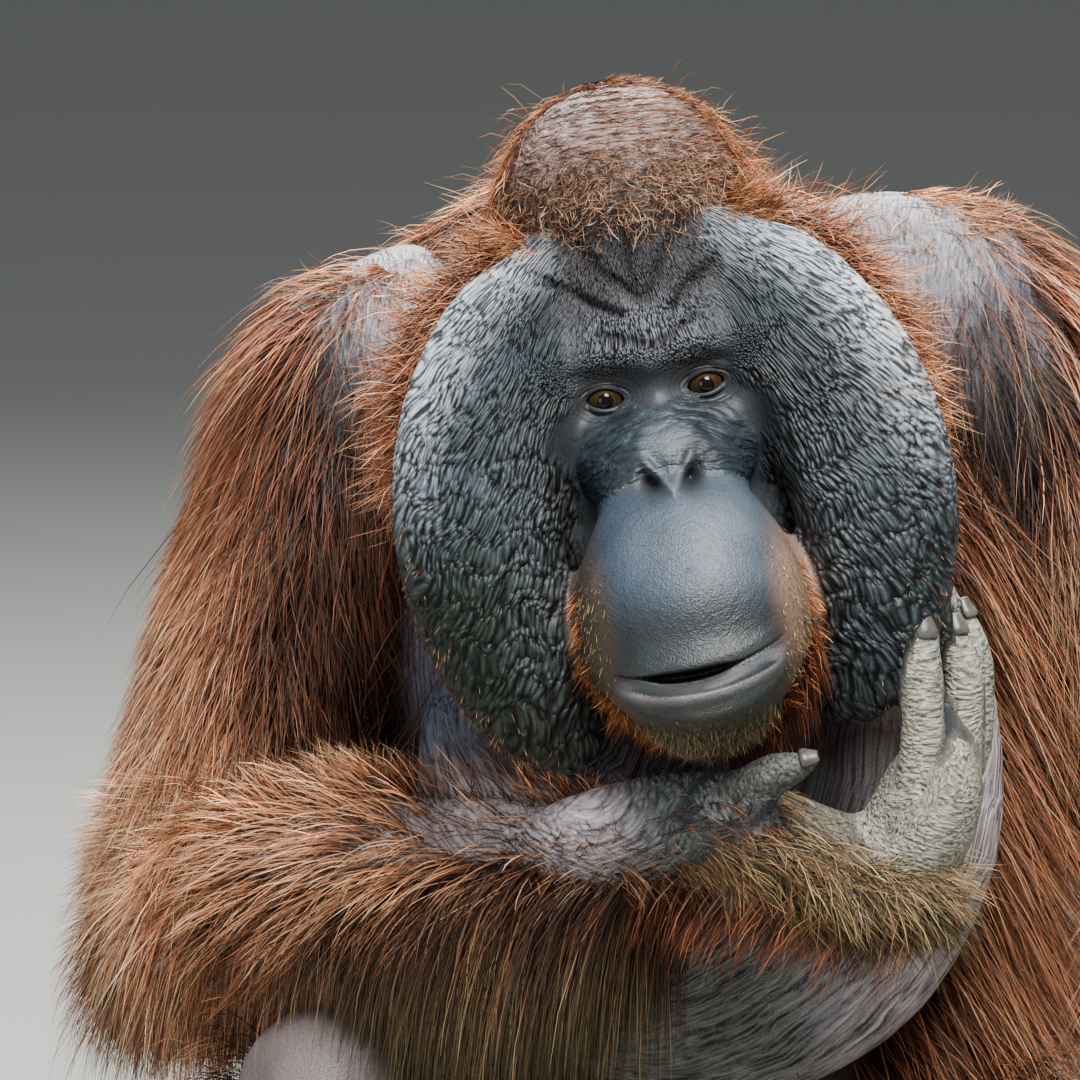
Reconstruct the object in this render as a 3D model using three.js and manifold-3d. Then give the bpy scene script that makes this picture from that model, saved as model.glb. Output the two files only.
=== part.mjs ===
// A flanged male orangutan, life size, sitting with its chin propped on its right hand.
// Millimetres, +Z up, the animal faces -Y, its own right side is at -X.
// The origin is the middle of the flat under the seat, on the floor.
import * as THREE from "three";
import { mergeVertices } from "three/addons/utils/BufferGeometryUtils.js";
import Module from "manifold-3d";

const wasm = await Module();
wasm.setup();

// Driving sizes
const GAP = 0.3; // between neighbouring pieces
const LOCK_GAP = 0.8; // between the locks of neighbouring pieces
const EYE_SPAN = 61; // between the pupils
const EYE_RADIUS = 12;
const HEAD_AT = [-6, -285, 772]; // the point between the eyes
const HEAD_PITCH = 10; // degrees, the face looks up by this much
const HEAD_ROLL = 9.5; // degrees, the crown leans to the animal's right
const FLANGE_REACH = 124; // from the middle of the face to the middle of a cheek pad
const SHOULDER_RIGHT = [-180, 15, 752];
const SHOULDER_LEFT = [186, 15, 790];
const ELBOW_RIGHT = [-290, -58, 420];
const ELBOW_LEFT = [352, 12, 450];
const WRIST_RIGHT = [10, -322, 503];
const WRIST_LEFT = [385, -150, 108];
const KNUCKLE_RIGHT = [138, -316, 478];
const TIPS = { arm: 20, leg: 14, back: 17, ruff: 26 }; // how far the coat's tips stand off its core
const HIP_X = 105;
const KNEE_RIGHT = [-217, -200, 326];
const KNEE_LEFT = [268, -150, 262];
const ANKLE_RIGHT = [-150, -255, 72];
const ANKLE_LEFT = [168, -292, 72];

const vec = (p) => new THREE.Vector3(p[0], p[1], p[2]);
const mirrored = (side, list) => list.map(([x, ...rest]) => [x * side, ...rest]);
const smooth = (x) => x * x * (3 - 2 * x);
const clamp01 = (x) => Math.min(1, Math.max(0, x));

// Solids and geometry
function solidOf(geometry) {
  const bare = geometry.index ? geometry.toNonIndexed() : geometry;
  const merged = mergeVertices(
    new THREE.BufferGeometry().setAttribute("position", bare.getAttribute("position")),
    1e-3,
  );
  return new wasm.Manifold(
    new wasm.Mesh({
      numProp: 3,
      vertProperties: merged.attributes.position.array,
      triVerts: new Uint32Array(merged.index.array),
    }),
  );
}

function geometryOf(solid) {
  const mesh = solid.getMesh();
  const points = new Float32Array(mesh.numVert * 3);
  for (let i = 0; i < mesh.numVert; i++)
    points.set(mesh.vertProperties.subarray(i * mesh.numProp, i * mesh.numProp + 3), i * 3);
  const geometry = new THREE.BufferGeometry()
    .setAttribute("position", new THREE.BufferAttribute(points, 3))
    .setIndex(new THREE.BufferAttribute(mesh.triVerts, 1));
  geometry.computeVertexNormals();
  return geometry;
}

const joined = (solids) => solids.reduce((a, b) => a.add(b));

function largest(solid) {
  const bodies = solid.decompose();
  return bodies.reduce((a, b) => (b.volume() > a.volume() ? b : a));
}

// Moves each point of a geometry by a function.
function warped(geometry, move) {
  const position = geometry.getAttribute("position");
  const point = new THREE.Vector3();
  for (let i = 0; i < position.count; i++) {
    point.fromBufferAttribute(position, i);
    const to = move(point);
    position.setXYZ(i, to.x, to.y, to.z);
  }
  return geometry;
}

// A bone with flesh: stations are [x, y, z, half width, half depth], the width lying across `up`.
// blunt near 1 gives an egg's ends, and near 0.4 a sausage's.
function limb(stations, { up = [0, -1, 0], blunt = 0.55 } = {}) {
  const spine = new THREE.CatmullRomCurve3(stations.map(vec), false, "centripetal");
  const sizes = new THREE.CatmullRomCurve3(
    stations.map((s) => new THREE.Vector3(s[3], s[4], 0)),
    false,
    "centripetal",
  );
  const front = vec(up);
  const length = spine.getLength();
  const frame = (t) => {
    const along = spine.getTangent(t);
    const wide = new THREE.Vector3().crossVectors(front, along).normalize();
    const deep = new THREE.Vector3().crossVectors(along, wide);
    return { at: spine.getPoint(t), size: sizes.getPoint(t), along, wide, deep };
  };
  // The point at share t of the length and angle turn (0 along the width), height above the skin.
  const surface = (t, turn, height = 0) => {
    const f = frame(clamp01(t));
    const end = Math.pow(Math.max(0, 1 - (2 * clamp01(t) - 1) ** 2), blunt / 2);
    const across = (f.size.x * end + height) * Math.cos(turn);
    const out = (f.size.y * end + height) * Math.sin(turn);
    return f.at.clone().addScaledVector(f.wide, across).addScaledVector(f.deep, out);
  };
  // The same above the limb's even girth, also past its ends, for hair that reaches over them.
  const over = (t, turn, height) => {
    const inside = Math.min(0.96, Math.max(0.04, t));
    const f = frame(inside);
    const end = Math.pow(1 - (2 * inside - 1) ** 2, blunt / 2);
    return f.at
      .clone()
      .addScaledVector(f.along, (t - inside) * length)
      .addScaledVector(f.wide, (f.size.x * end + height) * Math.cos(turn))
      .addScaledVector(f.deep, (f.size.y * end + height) * Math.sin(turn));
  };
  const core = (sides, rings, grow = 0) => {
    const geometry = warped(new THREE.SphereGeometry(1, sides, rings), (p) => {
      const t = clamp01((1 - p.y) / 2);
      const turn = Math.atan2(p.z, p.x);
      const pole = Math.abs(p.y) > 0.9999;
      if (!pole) return surface(t, turn, grow);
      const f = frame(t);
      return f.at.clone().addScaledVector(f.along, -Math.sign(p.y) * grow);
    });
    const solid = solidOf(geometry);
    if (solid.volume() > 0) return solid;
    return solidOf(flipped(geometry));
  };
  return { surface, over, core, frame };
}

function flipped(geometry) {
  const index = geometry.index.array;
  for (let i = 0; i < index.length; i += 3) [index[i + 1], index[i + 2]] = [index[i + 2], index[i + 1]];
  return geometry;
}

function ball([x, y, z], [rx, ry, rz], sides, rings, grow = 0) {
  const geometry = new THREE.SphereGeometry(1, sides, rings);
  geometry.scale(rx + grow, ry + grow, rz + grow);
  geometry.translate(x, y, z);
  return solidOf(geometry);
}

// Even but irregular numbers, the same on every build.
let seed = 208;
function chance(low, high) {
  seed = (seed * 16807) % 2147483647;
  return low + ((high - low) * seed) / 2147483647;
}

// A flat tapered lock of hair on a limb. It is rooted under the skin at share `from` of the limb's
// length, lies along it to share `to`, rises to `lift` at its tip and hangs down by `hang`.
function lock(form, { from, to, turn, sweep, width, thick, sink, lift, hang }, grow) {
  const cone = new THREE.ConeGeometry(1, 1, 3, 3);
  const geometry = warped(cone, (p) => {
    const s = p.y + 0.5;
    const [across, out] = s > 0.999 ? [0, 0] : [p.x / (1 - s), p.z / (1 - s)];
    const taper = (1 - s ** 1.8) * (0.8 + 0.6 * s);
    const angle = turn + sweep * s;
    const height = -sink + (sink + lift) * Math.pow(s, 0.6);
    const at = form.over(from + (to - from) * s, angle, height);
    const f = form.frame(clamp01(from + (to - from) * s));
    const normal = f.wide.clone().multiplyScalar(Math.cos(angle)).addScaledVector(f.deep, Math.sin(angle));
    const tangent = f.wide.clone().multiplyScalar(-Math.sin(angle)).addScaledVector(f.deep, Math.cos(angle));
    at.addScaledVector(tangent, across * ((width / 2) * taper + grow));
    at.addScaledVector(normal, out * ((thick / 2) * taper + grow));
    at.z -= hang * s * s;
    if (s > 0.999) at.addScaledVector(f.along, Math.sign(to - from) * grow);
    return at;
  });
  const solid = solidOf(geometry);
  return solid.volume() > 0 ? solid : solidOf(flipped(geometry));
}

// A ring of locks round a limb from angle turns[0] to turns[1], in degrees.
function tier(form, { from, to, turns, count, width, thick = 11, sink = 8, lift, hang = 0, sweep = 0 }) {
  return Array.from({ length: count }, (_, i) => ({
    from: from + chance(-0.02, 0.02),
    to: to + chance(-0.04, 0.04),
    turn: THREE.MathUtils.degToRad(turns[0] + ((turns[1] - turns[0]) * (i + 0.5)) / count + chance(-5, 5)),
    sweep: THREE.MathUtils.degToRad(sweep + chance(-7, 7)),
    width: width * chance(0.9, 1.12),
    thick,
    sink,
    lift: lift * chance(0.86, 1.1),
    hang: hang * chance(0.8, 1.15),
  })).map((shape) => (grow) => lock(form, shape, grow));
}

// Forms of the head, in its own frame: +X the animal's left, -Y forward, +Z up, 0 between the eyes
const headMatrix = new THREE.Matrix4()
  .makeTranslation(...HEAD_AT)
  .multiply(new THREE.Matrix4().makeRotationX(THREE.MathUtils.degToRad(-HEAD_PITCH)))
  .multiply(new THREE.Matrix4().makeRotationY(THREE.MathUtils.degToRad(-HEAD_ROLL)));
const placed = (solid) => solid.transform(Array.from(headMatrix.elements));

const cranium = (grow) => ball([0, 96, 44], [98, 96, 100], 14, 9, grow);
const crown = (grow) => ball([0, 78, 108], [79, 76, 84], 16, 10, grow);
const mask = (grow) => ball([0, 44, -42], [108, 48, 132], 14, 10, grow);
const forehead = (grow) => ball([0, 44, 44], [100, 50, 70], 14, 8, grow);
const BROW = limb([[-52, 10, 17, 13, 15], [0, -1, 27, 15, 17], [52, 10, 17, 13, 15]], { up: [0, 0, 1] });
const BRIDGE = limb([[0, 6, 12, 13, 10], [0, -12, -22, 17, 17], [0, -26, -50, 27, 20], [0, -30, -64, 26, 12]]);
const MUZZLE = limb(
  [
    [0, 12, -40, 44, 34],
    [0, -12, -86, 72, 64],
    [0, -24, -135, 80, 83],
    [0, -28, -176, 72, 80],
    [0, -22, -222, 44, 52],
  ],
  { blunt: 0.8 },
);
const LIP_UPPER = limb(
  [[-62, -52, -152, 9, 12], [-40, -93, -163, 9, 12], [0, -106, -166, 9, 12], [40, -93, -163, 9, 12], [62, -52, -152, 9, 12]],
  { up: [0, 0, 1], blunt: 0.9 },
);
const LIP_LOWER = limb(
  [[-60, -52, -168, 9, 10], [-40, -92, -182, 10, 11], [0, -106, -188, 11, 11], [40, -92, -182, 10, 11], [60, -52, -168, 9, 10]],
  { up: [0, 0, 1], blunt: 0.9 },
);
const MOUTH = limb(
  [[-63, -58, -160, 6, 2], [-40, -96, -173, 16, 3], [6, -112, -177, 20, 4.5], [40, -96, -173, 16, 3], [63, -58, -160, 6, 2]],
  { up: [0, 0, 1], blunt: 0.9 },
);
const eyeAt = (side) => [(side * EYE_SPAN) / 2, 9, 0];
const eyeball = (side, grow) => ball(eyeAt(side), [EYE_RADIUS, EYE_RADIUS, EYE_RADIUS], 12, 8, grow);

// The socket is a shallow bowl, and the lids are a shell over the ball with an almond opening.
const LID = 3.2;
const SLIT = [12.5, 14, 6.6];
function lids(side) {
  const [x, y, z] = eyeAt(side);
  const shell = ball([x, y, z], [EYE_RADIUS + LID, EYE_RADIUS + LID, EYE_RADIUS + LID], 14, 8);
  return shell.subtract(ball([x, y - EYE_RADIUS, z], SLIT, 12, 8));
}
const socket = (side) => ball([side * 32, -12, -2], [23, 17, 16], 12, 8);
const nostril = (side) => ball([side * 11, -50, -56], [6.5, 13, 8.5], 8, 6);

function head(grow) {
  let whole = joined([
    cranium(grow),
    crown(grow),
    mask(grow),
    forehead(grow),
    BROW.core(8, 6, grow),
  ]);
  for (const side of [-1, 1]) whole = whole.subtract(socket(side));
  whole = joined([
    whole,
    BRIDGE.core(10, 7, grow),
    MUZZLE.core(18, 11, grow),
    LIP_UPPER.core(6, 10, grow),
    LIP_LOWER.core(6, 10, grow),
    lids(-1),
    lids(1),
  ]);
  if (grow) return placed(whole);
  whole = whole.subtract(MOUTH.core(6, 10)).subtract(nostril(-1)).subtract(nostril(1));
  return placed(whole);
}

// The hair behind the cheek pads grows on a low roll down each side of the head.
const RUFF = (side) =>
  limb(
    mirrored(side, [
      [24, 48, 92, 26, 14],
      [84, 44, 68, 40, 20],
      [122, 38, 12, 40, 22],
      [140, 34, -48, 26, 16],
    ]),
    { blunt: 0.6 },
  );

const FLANGE = (side) =>
  limb(
    mirrored(side, [
      [26, 26, 84, 32, 16],
      [68, 16, 62, 44, 26],
      [100, 2, 8, 52, 34],
      [FLANGE_REACH - 8, -6, -50, 52, 38],
      [FLANGE_REACH - 6, -8, -105, 50, 38],
      [FLANGE_REACH - 20, -4, -165, 45, 34],
      [FLANGE_REACH - 50, 8, -214, 34, 20],
    ]),
    { blunt: 0.5 },
  );
const flange = (side, grow) => placed(FLANGE(side).core(15, 12, grow));

function ear(side, grow) {
  const cup = ball([side * 84, 96, -4], [9, 15, 21], 10, 8, grow);
  if (grow) return placed(cup);
  return placed(cup.subtract(ball([side * 94, 90, -4], [7, 9, 13], 8, 6)));
}

// Trunk, neck and throat pouch
const TRUNK_LOW = limb(
  [
    [0, 62, -30, 120, 110],
    [0, 60, 70, 196, 172],
    [0, 30, 220, 214, 186],
    [0, 14, 350, 210, 174],
    [0, 16, 450, 204, 160],
    [0, 20, 520, 190, 140],
  ],
  { blunt: 0.35 },
);
const TRUNK_HIGH = limb(
  [
    [0, 14, 360, 196, 150],
    [0, 18, 480, 206, 160],
    [0, 30, 620, 206, 148],
    [4, 42, 740, 202, 128],
    [20, 52, 858, 156, 84],
  ],
  { blunt: 0.5 },
);
const NECK = limb([[0, 40, 760, 110, 90], [-2, -60, 766, 108, 98], [-4, -150, 772, 92, 92]], {
  up: [0, 0, 1],
  blunt: 0.4,
});
const POUCH = limb(
  [
    [0, -190, 705, 92, 62],
    [8, -185, 650, 124, 78],
    [24, -150, 594, 170, 86],
    [30, -146, 520, 182, 92],
    [34, -148, 430, 176, 96],
    [38, -146, 350, 140, 84],
    [40, -140, 300, 70, 50],
  ],
  { blunt: 0.6 },
);

// Arms
const UPPER_ARM_RIGHT = limb([
  [-140, 22, 812, 44, 60],
  [...SHOULDER_RIGHT, 66, 74],
  [-214, 0, 655, 60, 66],
  [-250, -26, 550, 55, 60],
  [...ELBOW_RIGHT, 48, 50],
  [-296, -62, 392, 30, 32],
]);
const FOREARM_RIGHT = limb(
  [
    [-312, -44, 412, 34, 32],
    [...ELBOW_RIGHT, 52, 50],
    [-214, -128, 446, 56, 54],
    [-110, -222, 478, 46, 46],
    [...WRIST_RIGHT, 38, 36],
  ],
  { up: [0, 0, 1] },
);
const PALM_RIGHT = limb(
  [
    [-10, -322, 506, 30, 28],
    [34, -320, 508, 44, 38],
    [86, -312, 492, 48, 34],
    [...KNUCKLE_RIGHT, 46, 28],
    [156, -310, 476, 40, 20],
  ],
  { up: [0, 0, 1] },
);
const UPPER_ARM_LEFT = limb([
  [142, 22, 840, 44, 60],
  [...SHOULDER_LEFT, 68, 74],
  [238, 14, 680, 62, 68],
  [296, 14, 570, 56, 62],
  [...ELBOW_LEFT, 48, 50],
  [360, 10, 424, 30, 32],
]);
const FOREARM_LEFT = limb([
  [352, 34, 462, 34, 32],
  [...ELBOW_LEFT, 52, 50],
  [368, -50, 350, 56, 54],
  [380, -110, 220, 46, 46],
  [...WRIST_LEFT, 36, 34],
]);
const PALM_LEFT = limb(
  [
    [386, -140, 120, 30, 26],
    [384, -182, 78, 42, 30],
    [382, -240, 34, 46, 24],
    [380, -268, 25, 42, 18],
  ],
  { up: [0, 0, 1] },
);

// Legs
const THIGH = (side, knee) =>
  limb([
    [side * 70, 50, 112, 70, 70],
    [side * HIP_X, 20, 140, 92, 92],
    [(side * HIP_X + knee[0]) / 2 + side * 4, (20 + knee[1]) / 2, (140 + knee[2]) / 2, 80, 84],
    [...knee, 64, 64],
    [knee[0] + side * 8, knee[1] - 16, knee[2] + 6, 46, 46],
  ]);
const SHANK = (knee, ankle) => {
  const at = (t) => knee.map((k, i) => k + (ankle[i] - k) * t);
  return limb([
    [...at(-0.12), 40, 38],
    [...at(0.1), 54, 52],
    [...at(0.45), 50, 52],
    [...at(0.9), 37, 38],
    [...at(1.08), 28, 28],
  ]);
};
const FOOT = (ankle, toes) =>
  limb(
    [
      [ankle[0] * 2 - toes[0] + (toes[0] - ankle[0]) * 0.72, ankle[1] + 44, 24, 24, 22],
      [ankle[0], ankle[1] + 10, 32, 36, 36],
      [(ankle[0] + toes[0]) / 2, (ankle[1] + toes[1]) / 2, 32, 42, 34],
      [toes[0], toes[1], 22, 44, 24],
      [toes[0], toes[1] - 16, 18, 36, 16],
    ],
    { up: [0, 0, 1] },
  );
const TOES_RIGHT = [-176, -400];
const TOES_LEFT = [150, -436];

// A finger or toe: joints are its three bones' ends, each [x, y, z], with the root's radius.
function digit(joints, radius, up) {
  const taper = [1, 1.04, 0.9, 0.94, 0.78, 0.5];
  const [root, mid, far, tip] = joints.map(vec);
  const points = [root, mid.clone().lerp(root, 0.2), mid.clone().lerp(far, 0.4), far, far.clone().lerp(tip, 0.6), tip];
  return limb(
    points.map((p, i) => [p.x, p.y, p.z, radius * taper[i], radius * taper[i] * 0.94]),
    { up, blunt: 0.5 },
  );
}

// The lie of the coat, as tiers of locks on each limb. Turns are in degrees round the limb.
const THIGHS = { right: THIGH(-1, KNEE_RIGHT), left: THIGH(1, KNEE_LEFT) };
const SHANKS = { right: SHANK(KNEE_RIGHT, ANKLE_RIGHT), left: SHANK(KNEE_LEFT, ANKLE_LEFT) };
const fringe = (form, outward) =>
  [0.04, 0.28, 0.52, 0.76].flatMap((from) =>
    tier(form, { from, to: from + 0.36, turns: [outward - 40, outward + 40], count: 2, width: 40, thick: 9, lift: TIPS.ruff }),
  ).map((make) => (grow) => placed(make(grow)));
const COATS = {
  ruff_right: fringe(RUFF(-1), 180),
  ruff_left: fringe(RUFF(1), 0),
  upper_arm_right: [
    ...tier(UPPER_ARM_RIGHT, { from: 0.14, to: 0.5, turns: [90, 290], count: 4, width: 68, lift: TIPS.arm }),
    ...tier(UPPER_ARM_RIGHT, { from: 0.38, to: 0.74, turns: [80, 290], count: 4, width: 68, lift: TIPS.arm, hang: 6 }),
    ...tier(UPPER_ARM_RIGHT, { from: 0.6, to: 1.0, turns: [120, 290], count: 3, width: 68, lift: 34, hang: 26 }),
    ...tier(UPPER_ARM_RIGHT, { from: 0.76, to: 1.1, turns: [140, 280], count: 3, width: 60, lift: 46, hang: 96 }),
  ],
  upper_arm_left: [
    ...tier(UPPER_ARM_LEFT, { from: 0.14, to: 0.5, turns: [-110, 90], count: 4, width: 68, lift: TIPS.arm }),
    ...tier(UPPER_ARM_LEFT, { from: 0.38, to: 0.74, turns: [-110, 110], count: 4, width: 68, lift: TIPS.arm, hang: 10 }),
    ...tier(UPPER_ARM_LEFT, { from: 0.6, to: 0.98, turns: [-100, 100], count: 3, width: 68, lift: 30, hang: 26 }),
    ...tier(UPPER_ARM_LEFT, { from: 0.8, to: 1.1, turns: [-110, 60], count: 3, width: 60, lift: 30, hang: 60 }),
  ],
  forearm_right: [
    ...tier(FOREARM_RIGHT, { from: 0.88, to: 0.56, turns: [110, 300], count: 4, width: 54, lift: 16, hang: 26 }),
    ...tier(FOREARM_RIGHT, { from: 0.64, to: 0.34, turns: [110, 300], count: 4, width: 60, lift: TIPS.arm, hang: 40 }),
    ...tier(FOREARM_RIGHT, { from: 0.4, to: 0.1, turns: [110, 300], count: 4, width: 60, lift: TIPS.arm, hang: 56 }),
    ...tier(FOREARM_RIGHT, { from: 0.2, to: 0.02, turns: [170, 290], count: 2, width: 60, lift: 22, hang: 100 }),
  ],
  forearm_left: [
    ...tier(FOREARM_LEFT, { from: 0.16, to: 0.52, turns: [-100, 100], count: 3, width: 64, lift: TIPS.arm, hang: 10 }),
    ...tier(FOREARM_LEFT, { from: 0.42, to: 0.78, turns: [-110, 110], count: 4, width: 58, lift: 18, hang: 10 }),
    ...tier(FOREARM_LEFT, { from: 0.66, to: 0.96, turns: [-110, 110], count: 3, width: 50, lift: 12, hang: 4 }),
  ],
  thigh_right: tier(THIGHS.right, { from: 0.34, to: 0.7, turns: [-30, 70], count: 3, width: 66, lift: TIPS.leg, hang: 8 }),
  thigh_left: tier(THIGHS.left, { from: 0.34, to: 0.7, turns: [110, 210], count: 3, width: 66, lift: TIPS.leg, hang: 8 }),
  shank_right: [
    ...tier(SHANKS.right, { from: 0.22, to: 0.6, turns: [70, 280], count: 3, width: 54, lift: TIPS.leg }),
    ...tier(SHANKS.right, { from: 0.52, to: 0.88, turns: [40, 300], count: 4, width: 46, lift: TIPS.leg }),
  ],
  shank_left: [
    ...tier(SHANKS.left, { from: 0.22, to: 0.6, turns: [-90, 120], count: 3, width: 54, lift: TIPS.leg }),
    ...tier(SHANKS.left, { from: 0.52, to: 0.88, turns: [-100, 140], count: 4, width: 46, lift: TIPS.leg }),
  ],
  chest: [
    ...tier(TRUNK_HIGH, { from: 0.92, to: 0.58, turns: [210, 330], count: 4, width: 96, lift: TIPS.back }),
    ...tier(TRUNK_HIGH, { from: 0.66, to: 0.32, turns: [208, 332], count: 4, width: 96, lift: TIPS.back }),
    ...tier(TRUNK_HIGH, { from: 0.42, to: 0.1, turns: [206, 334], count: 4, width: 100, lift: TIPS.back }),
  ],
  belly: [
    ...tier(TRUNK_LOW, { from: 0.72, to: 0.46, turns: [200, 340], count: 4, width: 104, lift: TIPS.back }),
    ...tier(TRUNK_LOW, { from: 0.5, to: 0.22, turns: [190, 350], count: 5, width: 108, lift: TIPS.back }),
  ],
};

// Nodes in order: each is cut clear of those before it.
const TRIM = { floor: 0 };
const nodes = [];
const piece = (name, material, make, options = {}) => nodes.push({ name, material, make, ...options });

const MATERIALS = {
  coat: { color: 0x7a3a1c, roughness: 0.85 },
  skin: { color: 0x4a4c52, roughness: 0.55 },
  face: { color: 0x3a3f45, roughness: 0.5 },
  palm: { color: 0x77736a, roughness: 0.6 },
  eye: { color: 0x4a2c0c, roughness: 0.1 },
};

for (const [side, word] of [[-1, "right"], [1, "left"]])
  piece(`eye_${word}`, "eye", (grow) => placed(eyeball(side, grow)));
piece("head", "face", head);
for (const [side, word] of [[-1, "right"], [1, "left"]]) {
  piece(`flange_${word}`, "face", (grow) => flange(side, grow));
  piece(`ear_${word}`, "face", (grow) => ear(side, grow));
}
for (const [side, word] of [[-1, "right"], [1, "left"]])
  piece(`ruff_${word}`, "coat", (grow) => placed(RUFF(side).core(10, 7, grow)));

// The right hand: the palm faces up under the chin and the fingers rise beside the cheek pad.
const FINGERS_RIGHT = [
  { name: "index", root: [140, -338, 484], middle: [150, -340, 556], far: [152, -338, 606], tip: [152, -330, 646], radius: 14 },
  { name: "middle", root: [158, -310, 484], middle: [182, -314, 566], far: [176, -312, 622], tip: [164, -304, 660], radius: 14.5 },
  { name: "ring", root: [160, -280, 486], middle: [190, -282, 560], far: [186, -280, 612], tip: [176, -274, 646], radius: 13.5 },
  { name: "little", root: [154, -252, 488], middle: [182, -254, 548], far: [182, -252, 590], tip: [174, -248, 616], radius: 11.5 },
];
const THUMB_RIGHT = digit([[6, -350, 516], [40, -362, 544], [64, -366, 556], [92, -368, 565]], 15, [0, 0, 1]);
piece("palm_right", "palm", (grow) => PALM_RIGHT.core(14, 9, grow));
for (const f of FINGERS_RIGHT)
  piece(`finger_${f.name}_right`, "palm", (grow) =>
    digit([f.root, f.middle, f.far, f.tip], f.radius, [1, 0, 0]).core(8, 8, grow),
  );
piece("thumb_right", "palm", (grow) => THUMB_RIGHT.core(8, 8, grow));

// The left hand lies on the floor, its fingers curled forward.
const FINGERS_LEFT = ["index", "middle", "ring", "little"].map((name, i) => {
  const x = 345 + i * 25.5;
  const reach = [92, 104, 98, 78][i];
  const radius = [12, 12.4, 12, 11][i];
  const root = [x, -262, 24];
  const middle = [x - 1, -262 - reach * 0.5, 30];
  const far = [x - 3, -262 - reach * 0.84, radius * 0.8];
  const tip = [x - 6, -262 - reach, radius * 0.45];
  return { name, root, middle, far, tip, radius };
});
piece("palm_left", "palm", (grow) => PALM_LEFT.core(14, 8, grow));
for (const f of FINGERS_LEFT)
  piece(`finger_${f.name}_left`, "palm", (grow) =>
    digit([f.root, f.middle, f.far, f.tip], f.radius, [0, 0, 1]).core(8, 7, grow),
  );
const THUMB_LEFT = digit([[352, -176, 56], [334, -206, 34], [328, -232, 16], [326, -256, 6.5]], 14, [0, 0, 1]);
piece("thumb_left", "palm", (grow) => THUMB_LEFT.core(8, 8, grow));

piece("forearm_right", "coat", (grow) => FOREARM_RIGHT.core(12, 8, grow));
piece("forearm_left", "coat", (grow) => FOREARM_LEFT.core(12, 8, grow));
piece("throat_pouch", "skin", (grow) => POUCH.core(18, 10, grow));

const LEGS = [
  { word: "right", side: -1, knee: KNEE_RIGHT, ankle: ANKLE_RIGHT, toes: TOES_RIGHT },
  { word: "left", side: 1, knee: KNEE_LEFT, ankle: ANKLE_LEFT, toes: TOES_LEFT },
];
for (const leg of LEGS) {
  piece(`shank_${leg.word}`, "coat", (grow) => SHANKS[leg.word].core(12, 7, grow));
  piece(`foot_${leg.word}`, "palm", (grow) => FOOT(leg.ankle, leg.toes).core(14, 8, grow));
  const names = ["second", "third", "fourth", "fifth"];
  names.forEach((name, i) => {
    const x = leg.toes[0] + leg.side * (i - 1.5) * 23;
    const reach = [96, 104, 98, 84][i];
    const y = leg.toes[1] - 12;
    const radius = 11;
    piece(`toe_${name}_${leg.word}`, "palm", (grow) =>
      digit([[x, y, 20], [x, y - reach * 0.5, 25], [x, y - reach * 0.85, radius * 0.8], [x, y - reach, radius * 0.45]], radius, [0, 0, 1]).core(8, 7, grow),
    );
  });
  const inner = leg.toes[0] - leg.side * 44;
  const base = (leg.ankle[1] + leg.toes[1]) / 2 + 10;
  piece(`toe_great_${leg.word}`, "palm", (grow) =>
    digit([[inner + leg.side * 14, base, 24], [inner - leg.side * 8, base - 26, 20], [inner - leg.side * 14, base - 44, 11], [inner - leg.side * 16, base - 60, 6]], 13, [0, 0, 1]).core(8, 6, grow),
  );
}
piece("upper_arm_right", "coat", (grow) => UPPER_ARM_RIGHT.core(12, 8, grow));
piece("upper_arm_left", "coat", (grow) => UPPER_ARM_LEFT.core(12, 8, grow));
for (const leg of LEGS) piece(`thigh_${leg.word}`, "coat", (grow) => THIGHS[leg.word].core(14, 8, grow));
piece("neck", "coat", (grow) => NECK.core(14, 6, grow));
piece("chest", "coat", (grow) => TRUNK_HIGH.core(14, 8, grow));
piece("belly", "coat", (grow) => TRUNK_LOW.core(14, 8, grow));

// Everything rests on one floor, so what dips below it is cut flat.
const above = (solid) => solid.trimByPlane([0, 0, 1], TRIM.floor);

function clearOf(solid, other) {
  const a = solid.boundingBox();
  const b = other.boundingBox();
  const apart = [0, 1, 2].some((k) => a.max[k] < b.min[k] || b.max[k] < a.min[k]);
  return apart ? solid : solid.subtract(other);
}

const orangutan = new THREE.Group();
for (const node of nodes) node.clearance = above(node.make(GAP));
nodes.forEach((node, n) => {
  node.core = nodes.slice(0, n).reduce((solid, earlier) => clearOf(solid, earlier.clearance), above(node.make(0)));
});
const coated = [];
for (const node of nodes) {
  let solid = node.core;
  if (COATS[node.name]) {
    let coat = above(joined(COATS[node.name].map((make) => make(0))));
    for (const other of nodes) if (other !== node) coat = clearOf(coat, other.clearance);
    for (const earlier of coated) coat = clearOf(coat, earlier);
    solid = solid.add(coat);
    coated.push(joined(COATS[node.name].map((make) => make(LOCK_GAP))));
  }
  const mesh = new THREE.Mesh(
    geometryOf(largest(solid)),
    new THREE.MeshStandardMaterial({ metalness: 0, ...MATERIALS[node.material] }),
  );
  mesh.name = node.name;
  orangutan.add(mesh);
}

export default orangutan;
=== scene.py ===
"""A flanged male orangutan, life size, sitting with its chin propped on its right hand."""

import math

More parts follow.
